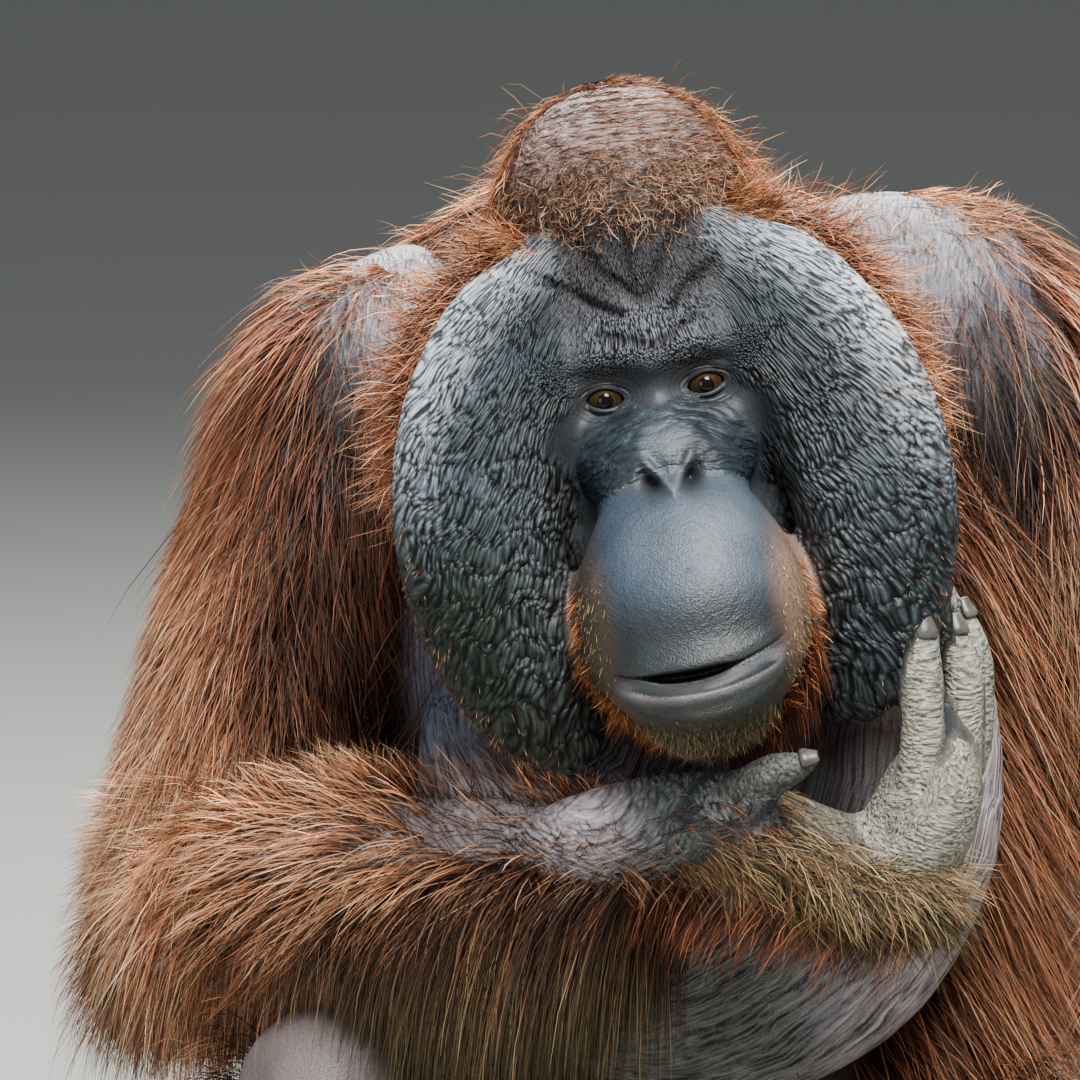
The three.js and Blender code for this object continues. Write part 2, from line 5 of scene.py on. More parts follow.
import bpy
import numpy as np
from mathutils import Euler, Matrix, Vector


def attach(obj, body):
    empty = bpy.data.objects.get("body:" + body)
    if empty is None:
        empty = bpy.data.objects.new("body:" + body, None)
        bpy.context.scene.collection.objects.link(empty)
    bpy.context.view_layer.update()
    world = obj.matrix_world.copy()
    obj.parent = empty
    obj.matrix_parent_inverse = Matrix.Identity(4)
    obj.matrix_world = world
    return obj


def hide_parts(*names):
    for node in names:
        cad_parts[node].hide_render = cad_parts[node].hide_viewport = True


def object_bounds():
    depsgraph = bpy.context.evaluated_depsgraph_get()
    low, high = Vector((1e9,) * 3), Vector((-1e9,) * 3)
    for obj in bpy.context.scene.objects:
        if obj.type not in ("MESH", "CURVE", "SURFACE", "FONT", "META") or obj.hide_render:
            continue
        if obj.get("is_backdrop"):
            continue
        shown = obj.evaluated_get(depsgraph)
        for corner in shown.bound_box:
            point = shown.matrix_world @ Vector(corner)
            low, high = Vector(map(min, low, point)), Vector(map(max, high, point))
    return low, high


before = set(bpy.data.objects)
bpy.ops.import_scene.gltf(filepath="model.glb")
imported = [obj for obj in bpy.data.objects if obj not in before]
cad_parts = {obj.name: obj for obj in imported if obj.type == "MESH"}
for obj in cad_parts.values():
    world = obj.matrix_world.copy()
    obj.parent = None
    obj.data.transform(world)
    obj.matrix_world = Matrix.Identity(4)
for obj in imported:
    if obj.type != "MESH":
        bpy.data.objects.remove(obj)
cad_box = [list(map(float, corner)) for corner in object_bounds()]
bpy.ops.object.select_all(action="DESELECT")

# Room. A plain grey floor under soft daylight: a broad lamp above and in front, a wide cool fill at
# the side, and a high lamp behind that lights the edges of the coat. The lens is long.
bpy.ops.mesh.primitive_plane_add(size=26, location=(0, 4.0, 0))
room_floor = bpy.context.object
room_floor.name = "floor"
bpy.ops.object.transform_apply(location=True, rotation=True, scale=True)


def start_finish(name, roughness=0.5):
    """Starts a material, whose nodes the lines after it then add to."""
    global nodes, links, shader
    finish = bpy.data.materials.new(name)
    finish.use_nodes = True
    nodes, links = finish.node_tree.nodes, finish.node_tree.links
    shader = nodes["Principled BSDF"]
    shader.inputs["Roughness"].default_value = roughness
    return finish


room_floor.data.materials.append(start_finish("floor_paint", 0.8))
shader.inputs["Base Color"].default_value = (0.24, 0.25, 0.24, 1)
room_floor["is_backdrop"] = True

TILT_DOWN = math.radians(10)
AIM = Vector((-0.075, -0.28, 0.681))
DISTANCE = 5.0
LENS = 277.8
eye_line = Vector((0, math.cos(TILT_DOWN), -math.sin(TILT_DOWN)))
bpy.ops.object.camera_add(location=AIM - eye_line * DISTANCE, rotation=(math.pi / 2 - TILT_DOWN, 0, 0))
camera = bpy.context.object
camera.name = "camera"
camera.data.sensor_width = 36
camera.data.lens = LENS
bpy.context.scene.camera = camera

LIT_PLACE = Vector((0, -0.15, 0.55))
for lamp_name, place, size, power, tint in [
    ("lamp_sky", (0.4, -1.45, 2.9), 1.4, 225, (1, 0.99, 0.97)),
    ("lamp_fill", (-2.4, -2.8, 1.2), 1.8, 32, (0.88, 0.94, 1)),
    ("lamp_rim", (-0.3, 1.9, 2.7), 1.6, 290, (1, 0.97, 0.93)),
]:
    bpy.ops.object.light_add(type="AREA", location=place)
    lamp = bpy.context.object
    lamp.name = lamp_name
    lamp.data.size = size
    lamp.data.energy = power
    lamp.data.color = tint
    lamp.rotation_euler = (LIT_PLACE - lamp.location).to_track_quat("-Z", "Y").to_euler()

sky = bpy.data.worlds.new("sky")
sky.use_nodes = True
sky.node_tree.nodes["Background"].inputs["Color"].default_value = (0.86, 0.9, 0.9, 1)
sky.node_tree.nodes["Background"].inputs["Strength"].default_value = 0.33
bpy.context.scene.world = sky

# Body. One skin over the bones and flesh of the whole animal. Each mass is a ball drawn out along
# its bone; the masses are melted into one surface, and the face is then pressed into it.
MM = 0.001
FACE_AT = np.array((-6.0, -285.0, 772.0))
NOD, LEAN = math.radians(-10), math.radians(-9.5)
FACE_TURN = Euler((NOD, 0, 0)).to_matrix() @ Euler((0, LEAN, 0)).to_matrix()
FACE_AXES = np.array(FACE_TURN)


def from_face(points):
    """Points given round the middle of the eyes, as places in the world."""
    return FACE_AT + points @ FACE_AXES.T


def to_face(points):
    """Places in the world, as points round the middle of the eyes."""
    return (points - FACE_AT) @ FACE_AXES


def curve_through(knots, t):
    """A smooth curve through the knots, evenly eased where they crowd."""
    last = len(knots) - 1
    at = np.clip(t, 0, 1) * last
    i = np.minimum(at.astype(int), last - 1)
    w = (at - i)[:, None]
    padded = np.vstack([2 * knots[0] - knots[1], knots, 2 * knots[-1] - knots[-2]])
    p0, p1, p2, p3 = (padded[i + k] for k in range(4))
    steps = [np.linalg.norm((a - b)[:, :3], axis=1) for a, b in ((p0, p1), (p1, p2), (p2, p3))]
    d0, d1, d2 = (np.maximum(step, 1e-6)[:, None] ** 0.5 for step in steps)
    out = ((p1 - p0) / d0 - (p2 - p0) / (d0 + d1) + (p2 - p1) / d1) * d1
    back = ((p2 - p1) / d1 - (p3 - p1) / (d1 + d2) + (p3 - p2) / d2) * d1
    return p1 + out * w + (3 * (p2 - p1) - 2 * out - back) * w**2 + (2 * (p1 - p2) + out + back) * w**3


SAMPLES = 48


class Limb:
    """A mass along a bone. Knots are (x, y, z, half width, half depth) in millimetres."""

    def __init__(self, knots, facing=(0, -1, 0), blunt=0.55, on_face=False):
        self.knots = np.array(knots, float)
        self.facing = np.array(facing, float)
        self.blunt = blunt
        self.on_face = on_face
        steps = np.linspace(0, 1, SAMPLES)
        at, self.along, self.wide, self.deep = self.ring(steps)
        self.length = np.linalg.norm(np.diff(at[:, :3], axis=0), axis=1).sum()
        end = np.maximum(0.02, 1 - (2 * steps - 1) ** 2) ** (blunt / 2)
        self.radii = at[:, 3:] * end[:, None]
        self.line = at[:, :3]
        if on_face:
            self.line = from_face(self.line)
            self.along, self.wide, self.deep = (v @ FACE_AXES.T for v in (self.along, self.wide, self.deep))

    def ring(self, t):
        at = curve_through(self.knots, t)
        nudge = 1e-3
        ahead = curve_through(self.knots, np.clip(t + nudge, 0, 1))[:, :3]
        behind = curve_through(self.knots, np.clip(t - nudge, 0, 1))[:, :3]
        along = ahead - behind
        along /= np.linalg.norm(along, axis=1)[:, None]
        wide = np.cross(self.facing, along)
        wide /= np.linalg.norm(wide, axis=1)[:, None]
        return at, along, wide, np.cross(along, wide)

    def skin(self, t, turn, height=0.0, inset=0.0):
        """The place at share t of the length and the given turn round it, height above the skin."""
        inside = np.clip(t, 0.0, 1.0)
        at, along, wide, deep = self.ring(inside)
        end = np.maximum(0, 1 - (2 * inside - 1) ** 2) ** (self.blunt / 2)
        size = np.maximum(at[:, 3:] - inset, 2.0)
        across = (size[:, 0] * end + height) * np.cos(turn)
        out = (size[:, 1] * end + height) * np.sin(turn)
        places = at[:, :3] + wide * across[:, None] + deep * out[:, None]
        return from_face(places) if self.on_face else places

    def where(self, places, margin=0.0):
        """For each place: how far out it is (1 on the skin), its share of the length and its turn."""
        near = np.empty(len(places), dtype=int)
        for start in range(0, len(places), 40000):
            part = places[start : start + 40000]
            near[start : start + 40000] = (
                (part**2).sum(1)[:, None] - 2 * part @ self.line.T + (self.line**2).sum(1)
            ).argmin(1)
        rel = places - self.line[near]
        a = (rel * self.wide[near]).sum(1) / (self.radii[near, 0] + margin)
        b = (rel * self.deep[near]).sum(1) / (self.radii[near, 1] + margin)
        c = (rel * self.along[near]).sum(1) / (self.radii[near].mean(1) + margin)
        c = np.where((near == 0) | (near == SAMPLES - 1), c, c * 0.3)
        return np.sqrt(a**2 + b**2 + c**2), near / (SAMPLES - 1), np.arctan2(b, a)

    def push_out(self, places, margin):
        """Moves places that are inside the mass out to its skin and a margin more."""
        q, t, _ = self.where(places, margin)
        near = np.rint(t * (SAMPLES - 1)).astype(int)
        rel = places - self.line[near]
        lengthwise = self.along[near] * (rel * self.along[near]).sum(1)[:, None]
        grown = self.line[near] + lengthwise + (rel - lengthwise) / np.maximum(q, 0.25)[:, None]
        return np.where((q < 1)[:, None], grown, places)


# The right side is -1 and the left side 1.
KNEES = {-1: (-217, -200, 326), 1: (268, -150, 262)}
ANKLES = {-1: (-150, -255, 72), 1: (168, -292, 72)}
TOE_ROOTS = {-1: (-176, -400), 1: (150, -436)}


def shank_knots(knee, ankle):
    shares = ((-0.12, 40, 38), (0.1, 54, 52), (0.45, 50, 52), (0.9, 37, 38), (1.08, 28, 28))
    return [[k + (a - k) * s for k, a in zip(knee, ankle)] + [w, d] for s, w, d in shares]


def thigh_knots(side):
    x, y, z = KNEES[side]
    return [
        (side * 70, 50, 112, 70, 70),
        (side * 105, 20, 140, 92, 92),
        ((side * 105 + x) / 2 + side * 4, (20 + y) / 2, (140 + z) / 2, 80, 84),
        (x, y, z, 64, 64),
        (x + side * 8, y - 16, z + 6, 46, 46),
    ]


def foot_knots(side):
    ax, ay, _ = ANKLES[side]
    tx, ty = TOE_ROOTS[side]
    return [
        (ax * 2 - tx + (tx - ax) * 0.72, ay + 44, 24, 24, 22),
        (ax, ay + 10, 32, 36, 36),
        ((ax + tx) / 2, (ay + ty) / 2, 32, 42, 34),
        (tx, ty, 22, 44, 24),
        (tx, ty - 16, 18, 36, 16),
    ]


def flange_knots(side):
    return [
        (side * x, y, z, w, d)
        for x, y, z, w, d in [
            (26, 26, 84, 32, 16),
            (68, 16, 62, 44, 26),
            (100, 2, 8, 52, 34),
            (116, -6, -50, 52, 38),
            (118, -8, -105, 50, 38),
            (104, -4, -165, 45, 34),
            (74, 8, -214, 34, 20),
        ]
    ]


def ruff_knots(side):
    rings = [(24, 48, 92, 26, 14), (84, 44, 68, 40, 20), (122, 38, 12, 40, 22), (140, 34, -48, 26, 16)]
    return [(side * x, *rest) for x, *rest in rings]


UPWARD = (0, 0, 1)
LIMBS = {
    "belly": Limb([(0, 62, -30, 120, 110), (0, 60, 70, 196, 172), (0, 30, 220, 214, 186),
                   (0, 14, 350, 210, 174), (0, 16, 450, 204, 160), (0, 20, 520, 190, 140)], blunt=0.35),
    "chest": Limb([(0, 14, 360, 196, 150), (0, 18, 480, 206, 160), (0, 30, 620, 206, 148),
                   (4, 42, 740, 202, 128), (20, 52, 858, 156, 84)], blunt=0.5),
    "neck": Limb([(0, 40, 760, 110, 90), (-2, -60, 766, 108, 98), (-4, -150, 772, 92, 92)], UPWARD, 0.4),
    "pouch": Limb([(0, -190, 705, 92, 62), (8, -185, 650, 124, 78), (24, -150, 594, 170, 86),
                   (30, -146, 520, 182, 92), (34, -148, 430, 176, 96), (38, -146, 350, 140, 84),
                   (40, -140, 300, 70, 50)], blunt=0.6),
    "upper_arm_right": Limb([(-140, 22, 812, 44, 60), (-180, 15, 752, 66, 74), (-214, 0, 655, 60, 66),
                             (-250, -26, 550, 55, 60), (-290, -58, 420, 48, 50), (-296, -62, 392, 30, 32)]),
    "forearm_right": Limb([(-312, -44, 412, 34, 32), (-290, -58, 420, 52, 50), (-214, -128, 446, 56, 54),
                           (-110, -222, 478, 46, 46), (10, -322, 503, 38, 36)], UPWARD),
    "palm_right": Limb([(-10, -322, 506, 30, 28), (34, -320, 508, 44, 38), (86, -312, 492, 48, 34),
                        (138, -316, 478, 46, 28), (156, -310, 476, 40, 20)], UPWARD),
    "knuckles_right": Limb([(124, -312, 472, 24, 38), (146, -312, 500, 33, 46), (162, -312, 540, 31, 44),
                            (168, -310, 576, 22, 36)]),
    "thumb_base_right": Limb([(-96, -250, 484, 22, 24), (-44, -300, 502, 32, 32), (0, -330, 516, 35, 32),
                              (40, -350, 534, 26, 24), (68, -362, 552, 16, 15)], UPWARD),
    "upper_arm_left": Limb([(142, 22, 840, 44, 60), (186, 15, 790, 68, 74), (238, 14, 680, 62, 68),
                            (296, 14, 570, 56, 62), (352, 12, 450, 48, 50), (360, 10, 424, 30, 32)]),
    "forearm_left": Limb([(352, 34, 462, 34, 32), (352, 12, 450, 52, 50), (368, -50, 350, 56, 54),
                          (380, -110, 220, 46, 46), (385, -150, 108, 36, 34)]),
    "palm_left": Limb([(386, -140, 120, 30, 26), (384, -182, 78, 42, 30), (382, -240, 34, 46, 24),
                       (380, -268, 25, 42, 18)], UPWARD),
    "thigh_right": Limb(thigh_knots(-1)),
    "thigh_left": Limb(thigh_knots(1)),
    "shank_right": Limb(shank_knots(KNEES[-1], ANKLES[-1])),
    "shank_left": Limb(shank_knots(KNEES[1], ANKLES[1])),
    "foot_right": Limb(foot_knots(-1), UPWARD),
    "foot_left": Limb(foot_knots(1), UPWARD),
    "ruff_right": Limb(ruff_knots(-1), blunt=0.6, on_face=True),
    "ruff_left": Limb(ruff_knots(1), blunt=0.6, on_face=True),
    "flange_right": Limb(flange_knots(-1), blunt=0.5, on_face=True),
    "flange_left": Limb(flange_knots(1), blunt=0.5, on_face=True),
    "brow": Limb([(-60, 18, 6, 12, 12), (-34, 4, 24, 14, 15), (0, 3, 22, 15, 15), (34, 4, 24, 14, 15),
                  (60, 18, 6, 12, 12)], UPWARD, on_face=True),
    "midface": Limb([(0, 16, 16, 20, 10), (0, 6, -12, 34, 15), (0, -8, -38, 54, 27), (0, -18, -68, 64, 44)],
                    on_face=True),
    "bridge": Limb([(0, 8, 14, 11, 8), (0, -2, -14, 12, 12), (0, -18, -38, 17, 18), (0, -30, -56, 19, 14)],
                   on_face=True),
    "shoulder_right": Limb([(-160, -2, 700, 68, 58), (-160, -2, 752, 68, 58),
                            (-160, -2, 804, 68, 58)], blunt=1.0),
    "shoulder_left": Limb([(146, 2, 722, 98, 66), (146, 2, 788, 98, 66), (146, 2, 854, 98, 66)], blunt=1.0),
    "muzzle": Limb([(0, 12, -40, 42, 34), (0, -12, -86, 63, 64), (0, -24, -135, 71, 83),
                    (0, -28, -176, 66, 80), (0, -22, -217, 42, 52)], blunt=0.8, on_face=True),
    "lip_upper": Limb([(-52, -56, -154, 9, 12), (-34, -93, -161, 9, 12), (0, -106, -164, 9, 12),
                       (34, -93, -158, 9, 12), (52, -56, -149, 9, 12)], UPWARD, 0.9, True),
    "lip_lower": Limb([(-50, -56, -168, 9, 10), (-34, -94, -181, 10, 11), (0, -110, -188, 11, 11),
                       (34, -94, -178, 10, 11), (50, -56, -164, 9, 10)], UPWARD, 0.9, True),
}

# The skin lies inside the coat by these depths, in millimetres.
COAT_DEPTH = {"belly": 14, "chest": 14, "neck": 10, "upper_arm_right": 13, "upper_arm_left": 13,
              "forearm_right": 11, "forearm_left": 11, "thigh_right": 9, "thigh_left": 9,
              "shank_right": 9, "shank_left": 9, "ruff_right": 8, "ruff_left": 8}


def digit_knots(joints, radius):
    root, middle, far, tip = (np.array(j, float) for j in joints)
    places = [root, middle + (root - middle) * 0.2, middle + (far - middle) * 0.4]
    places += [far, far + (tip - far) * 0.6, tip]
    shares = (1, 1.04, 0.9, 0.94, 0.78, 0.5)
    return [[*p, radius * s, radius * s * 0.94] for p, s in zip(places, shares)]


SIDEWAYS = (1, 0, 0)
DIGITS = {
    name: Limb(digit_knots(joints, radius), UPWARD if "thumb" in name else SIDEWAYS, 0.5)
    for name, radius, joints in [
        ("index_right", 15.5, [(140, -336, 484), (152, -338, 556), (153, -336, 606), (152, -330, 648)]),
        ("middle_right", 14.5, [(158, -310, 484), (180, -314, 558), (178, -312, 606), (170, -304, 642)]),
        ("ring_right", 13.5, [(160, -280, 486), (190, -282, 560), (186, -280, 612), (176, -274, 646)]),
        ("little_right", 11.5, [(154, -252, 488), (182, -254, 548), (182, -252, 590), (174, -248, 616)]),
        ("thumb_right", 15, [(6, -350, 516), (40, -362, 544), (64, -366, 556), (92, -368, 565)]),
        ("thumb_left", 14, [(352, -176, 56), (334, -206, 34), (328, -232, 16), (326, -256, 6.5)]),
    ]
}
# the left hand lies flat on the floor, its fingers forward
KNUCKLE_Y = -262
for i, (name, reach, radius) in enumerate(
    [("index", 92, 12), ("middle", 104, 12.4), ("ring", 98, 12), ("little", 78, 11)]
):
    x = 345 + i * 25.5
    joints = [(x, KNUCKLE_Y, 24), (x - 1, KNUCKLE_Y - reach * 0.5, 30)]
    joints += [(x - 3, KNUCKLE_Y - reach * 0.84, radius * 0.8), (x - 6, KNUCKLE_Y - reach, radius * 0.45)]
    DIGITS[name + "_left"] = Limb(digit_knots(joints, radius), UPWARD, 0.5)
for side, word in ((-1, "right"), (1, "left")):
    toe_x, toe_y = TOE_ROOTS[side]
    for i, (name, reach) in enumerate([("second", 96), ("third", 104), ("fourth", 98), ("fifth", 84)]):
        x, y = toe_x + side * (i - 1.5) * 23, toe_y - 12
        joints = [(x, y, 20), (x, y - reach * 0.5, 25), (x, y - reach * 0.85, 8.8), (x, y - reach, 4.95)]
        DIGITS[f"toe_{name}_{word}"] = Limb(digit_knots(joints, 11), UPWARD, 0.5)
    inner, base = toe_x - side * 44, (ANKLES[side][1] + toe_y) / 2 + 10
    joints = [(inner + side * 14, base, 24), (inner - side * 8, base - 26, 20)]
    joints += [(inner - side * 14, base - 44, 11), (inner - side * 16, base - 60, 6)]
    DIGITS["toe_great_" + word] = Limb(digit_knots(joints, 13), UPWARD, 0.5)


def own_points(obj):
    co = np.empty(len(obj.data.vertices) * 3)
    obj.data.vertices.foreach_get("co", co)
    return co.reshape(-1, 3)


def read_places(obj):
    """The object's vertices, in millimetres."""
    return own_points(obj) / MM


def write_places(obj, places):
    obj.data.vertices.foreach_set("co", (places * MM).ravel())
    obj.data.update()


# The coat is thin over the shoulders, so the skin lies near its surface there.
SHOULDER_MASSES = ("mass_upper_arm_right", "mass_upper_arm_left", "mass_chest")
SHOULDER_COAT = 3


def draw_out(name, limb, inset, segments=32, rings=24):
    """A ball drawn out along a bone."""
    bpy.ops.mesh.primitive_uv_sphere_add(segments=segments, ring_count=rings)
    ball = bpy.context.object
    ball.name = name
    co = own_points(ball)
    share = (1 - co[:, 2]) / 2
    if name in SHOULDER_MASSES:
        from_shoulder = (share - 0.1) / 0.2 if "arm" in name else (0.8 - share) / 0.2
        inset = (SHOULDER_COAT + (inset - SHOULDER_COAT) * np.clip(from_shoulder, 0, 1))[:, None]
    write_places(ball, limb.skin(share, np.arctan2(co[:, 1], co[:, 0]), inset=inset))
    return ball


def join_pieces(pieces, name):
    """Joins pieces into the first of them."""
    bpy.ops.object.select_all(action="DESELECT")
    for piece in pieces:
        piece.select_set(True)
    bpy.context.view_layer.objects.active = pieces[0]
    bpy.ops.object.join()
    bpy.context.object.name = name
    return bpy.context.object


masses = [draw_out("mass_" + n, l, COAT_DEPTH.get(n, 0)) for n, l in LIMBS.items()]
masses += [draw_out("mass_" + n, l, 0, 20, 20) for n, l in DIGITS.items()]
# the skull, the dome of fat on the crown, the flesh behind the face and the forehead
for middle, radii in [
    ((0, 96, 44), (94, 92, 96)),
    ((0, 78, 108), (77, 74, 82)),
    ((0, 44, -42), (108, 48, 132)),
    ((0, 44, 44), (100, 50, 70)),
]:
    bpy.ops.mesh.primitive_uv_sphere_add(segments=40, ring_count=28)
    ball = bpy.context.object
    write_places(ball, from_face(own_points(ball) * radii + middle))
    masses.append(ball)
body = join_pieces(masses, "skin")
melt = body.modifiers.new("melt", "REMESH")
melt.mode = "VOXEL"
melt.voxel_size = 4.5 * MM
bpy.ops.object.modifier_apply(modifier=melt.name)


def relax(obj, places, share, rounds):
    """Eases each vertex towards the middle of its neighbours, by its own share."""
    ends = np.empty(len(obj.data.edges) * 2, dtype=np.int64)
    obj.data.edges.foreach_get("vertices", ends)
    a, b = ends.reshape(-1, 2).T
    count = np.bincount(a, minlength=len(places)) + np.bincount(b, minlength=len(places))
    for _ in range(rounds):
        total = np.empty_like(places)
        for k in range(3):
            total[:, k] = np.bincount(a, places[b, k], len(places))
            total[:, k] += np.bincount(b, places[a, k], len(places))
        places = places + (total / count[:, None] - places) * share[:, None]
    return places


def soft(x, low, high):
    """A smooth share from 0 at low to 1 at high."""
    s = np.clip((x - low) / (high - low), 0, 1)
    return s * s * (3 - 2 * s)


def bump_at(local, centre, radii):
    """A soft round share, 1 at the centre and fading over the radii."""
    return np.exp(-(((local - np.array(centre)) / np.array(radii)) ** 2).sum(axis=1))


# the masses are eased into each other, most of all where the pads meet the temples
places = relax(body, read_places(body), np.full(len(body.data.vertices), 0.5), 7)
local = to_face(places)
temple = bump_at(np.abs(local), (56, 10, 56), (26, 60, 66)) * soft(local[:, 2], -70, -20) * (local[:, 1] < 60)
places = relax(body, places, np.clip(temple * 1.6, 0, 1) * 0.6, 60)
OVER_FLOOR = 0.4
places[:, 2] = np.maximum(places[:, 2], OVER_FLOOR)
write_places(body, places)


def in_region(local, wide, deep, bottom, top):
    """Tells which points round the eyes lie in a box, given its half width, back, bottom and top."""
    return (np.abs(local[:, 0]) < wide) & (local[:, 1] < deep) & (local[:, 2] > bottom) & (local[:, 2] < top)


def refine(obj, *region):
    """Cuts in four the faces whose corners all lie in a region of the face."""
    inside = in_region(to_face(read_places(obj)), *region)
    corner_vert = np.empty(len(obj.data.loops), dtype=np.int64)
    obj.data.loops.foreach_get("vertex_index", corner_vert)
    starts = np.empty(len(obj.data.polygons), dtype=np.int64)
    obj.data.polygons.foreach_get("loop_start", starts)
    bpy.ops.object.mode_set(mode="EDIT")
    bpy.ops.mesh.select_mode(type="FACE")
    bpy.ops.mesh.select_all(action="DESELECT")
    bpy.ops.object.mode_set(mode="OBJECT")
    obj.data.polygons.foreach_set("select", np.logical_and.reduceat(inside[corner_vert], starts))
    bpy.ops.object.mode_set(mode="EDIT")
    bpy.ops.mesh.subdivide(number_cuts=1, smoothness=0)
    bpy.ops.object.mode_set(mode="OBJECT")


# the middle of the face gets a finer mesh, and the mouth and the nose a finer one again
refine(body, 92, 34, -232, 96)
refine(body, 62, 26, -200, -150)
refine(body, 26, 26, -72, -38)
places = read_places(body)
places = relax(body, places, in_region(to_face(places), 90, 34, -230, 94) * 0.5, 5)
local = to_face(places)
front = np.clip((30 - local[:, 1]) / 20, 0, 1)
mirrored = np.abs(local) * (1, 0, 0) + local * (0, 1, 1)
push = np.zeros_like(local)


def press(centre, radii, amount, where=mirrored):
    """Presses the face in (+) or draws it out (-) by an amount in millimetres."""
    flat = where.copy()
    flat[:, 1] = centre[1]
    push[:, 1] += amount * bump_at(flat, centre, (radii[0], 1, radii[1])) * front


def furrow_gap(local, start, end):
    """Distance across the face from a wavy crease that runs on both sides, from start to end."""
    x, z = local[:, 0], local[:, 2]
    run = np.subtract(end, start)
    flat = np.stack([np.abs(x + 2.5 * np.sin(z / 10)), z + 1.5 * np.sin(x / 6)], axis=1) - start
    share = np.clip(flat @ run / (run @ run), 0, 1)
    return np.linalg.norm(flat - share[:, None] * run, axis=1)


# eye sockets, and the ridge over each
press((31, 0, -1), (19, 11), 3.5)
press((31, 0, 27), (26, 10), -3.5)
# furrows, each by its start, end, width and depth: five on the forehead, two in the brow and three under each
# eye; the first three and the brow's first also get painted shade in their depth
FOREHEAD_FURROWS = (
    ((3, 56), (32, 98), 3.2, 5.5),
    ((15, 47), (52, 76), 3.0, 4.5),
    ((0, 64), (0, 100), 2.6, 2.4),
)
BROW_FURROW = ((3, 28), (27, 39), 2.4, 2.0)
for start, end, width, depth in (
    *FOREHEAD_FURROWS,
    ((12, 70), (17, 100), 2.4, 1.6),
    ((30, 58), (44, 84), 2.4, 1.5),
    BROW_FURROW,
    ((20, 20), (48, 14), 2.4, 1.4),
    ((9, -12), (34, -38), 2.2, 1.3),
    ((16, -15), (46, -30), 2.2, 1.4),
    ((22, -26), (54, -46), 2.2, 1.2),
):
    push[:, 1] += depth * np.exp(-((furrow_gap(local, start, end) / width) ** 2)) * front
# the brow, the bridge, the forehead's two lobes, and the grooves beside the muzzle
press((0, 0, 42), (22, 11), -4)
press((31, 0, 13), (20, 4), 2.5)
press((6, 0, 36), (11, 12), -3)
press((0, 0, 12), (11, 17), -6)
press((26, 0, 46), (20, 5), 2)
press((19, 0, 66), (12, 22), -5)
press((0, 0, 66), (4, 22), 3)
press((58, 0, -52), (10, 36), 5)
press((70, 0, -110), (7, 45), 5)
# the nose: a low tip that runs down between the nostrils as a V, each nostril in its own hollow
press((13, 0, -51), (13, 12), 7.5)
press((10.5, 0, -55), (6, 5.6), 10)
tip = np.exp(-(((local[:, 2] + 60 - 1.3 * np.abs(local[:, 0])) / 5.5) ** 2))
tip *= soft(np.abs(local[:, 0]), 19, 10)
push[:, 1] -= 5.5 * tip * soft(local[:, 2], -70, -56) * front
press((20, 0, -48), (4.5, 9), -2.0)
press((0, 0, -80), (30, 14), -1.2)
local = local + push


def lip_line(x):
    """Height of the mouth's slit, which sags in the middle and lifts to the animal's left."""
    return -169 + 0.0042 * (x + 5) ** 2 + 0.04 * x


over_slit = local[:, 2] - lip_line(local[:, 0])
in_mouth = front * (local[:, 1] < -40) * soft(np.abs(local[:, 0] + 2), 54, 46)
parted = np.exp(-(((local[:, 0] + 9) / 24) ** 4))
local[:, 1] += in_mouth * np.exp(-((over_slit / (0.7 + 2.3 * parted)) ** 4)) * (2.6 + 16 * parted)
# the lower lip stands out as a shelf with a dip below it, and the upper lip has a soft roll
local[:, 1] -= in_mouth * 3.2 * np.exp(-(((over_slit + 9) / 5) ** 2))
local[:, 1] += in_mouth * 3.0 * np.exp(-(((over_slit + 20) / 6) ** 2))
local[:, 1] -= in_mouth * 1.5 * np.exp(-(((over_slit - 6) / 4) ** 2))
places = from_face(local)
write_places(body, places)

# the mesh is thinned out, most where the coat hides it, less at hands and feet, least in the face
face = in_region(to_face(places), 178, 62, -245, 190)
hands = np.zeros(len(places), bool)
HAND_MARGIN = 46
for name in ("palm_right", "palm_left", "foot_right", "foot_left", *DIGITS):
    line = (DIGITS.get(name) or LIMBS[name]).line
    low, high = line.min(axis=0) - HAND_MARGIN, line.max(axis=0) + HAND_MARGIN
    hands |= ((places > low) & (places < high)).all(axis=1)
hidden = body.vertex_groups.new(name="hidden")
for weight, members in ((1.0, ~face & ~hands), (0.35, ~face & hands)):
    hidden.add(np.flatnonzero(members).tolist(), weight, "REPLACE")
thin = body.modifiers.new("thin", "DECIMATE")
thin.ratio = 0.45
thin.vertex_group = "hidden"
thin.vertex_group_factor = 0.000002
bpy.ops.object.modifier_apply(modifier=thin.name)
bpy.ops.object.shade_smooth()

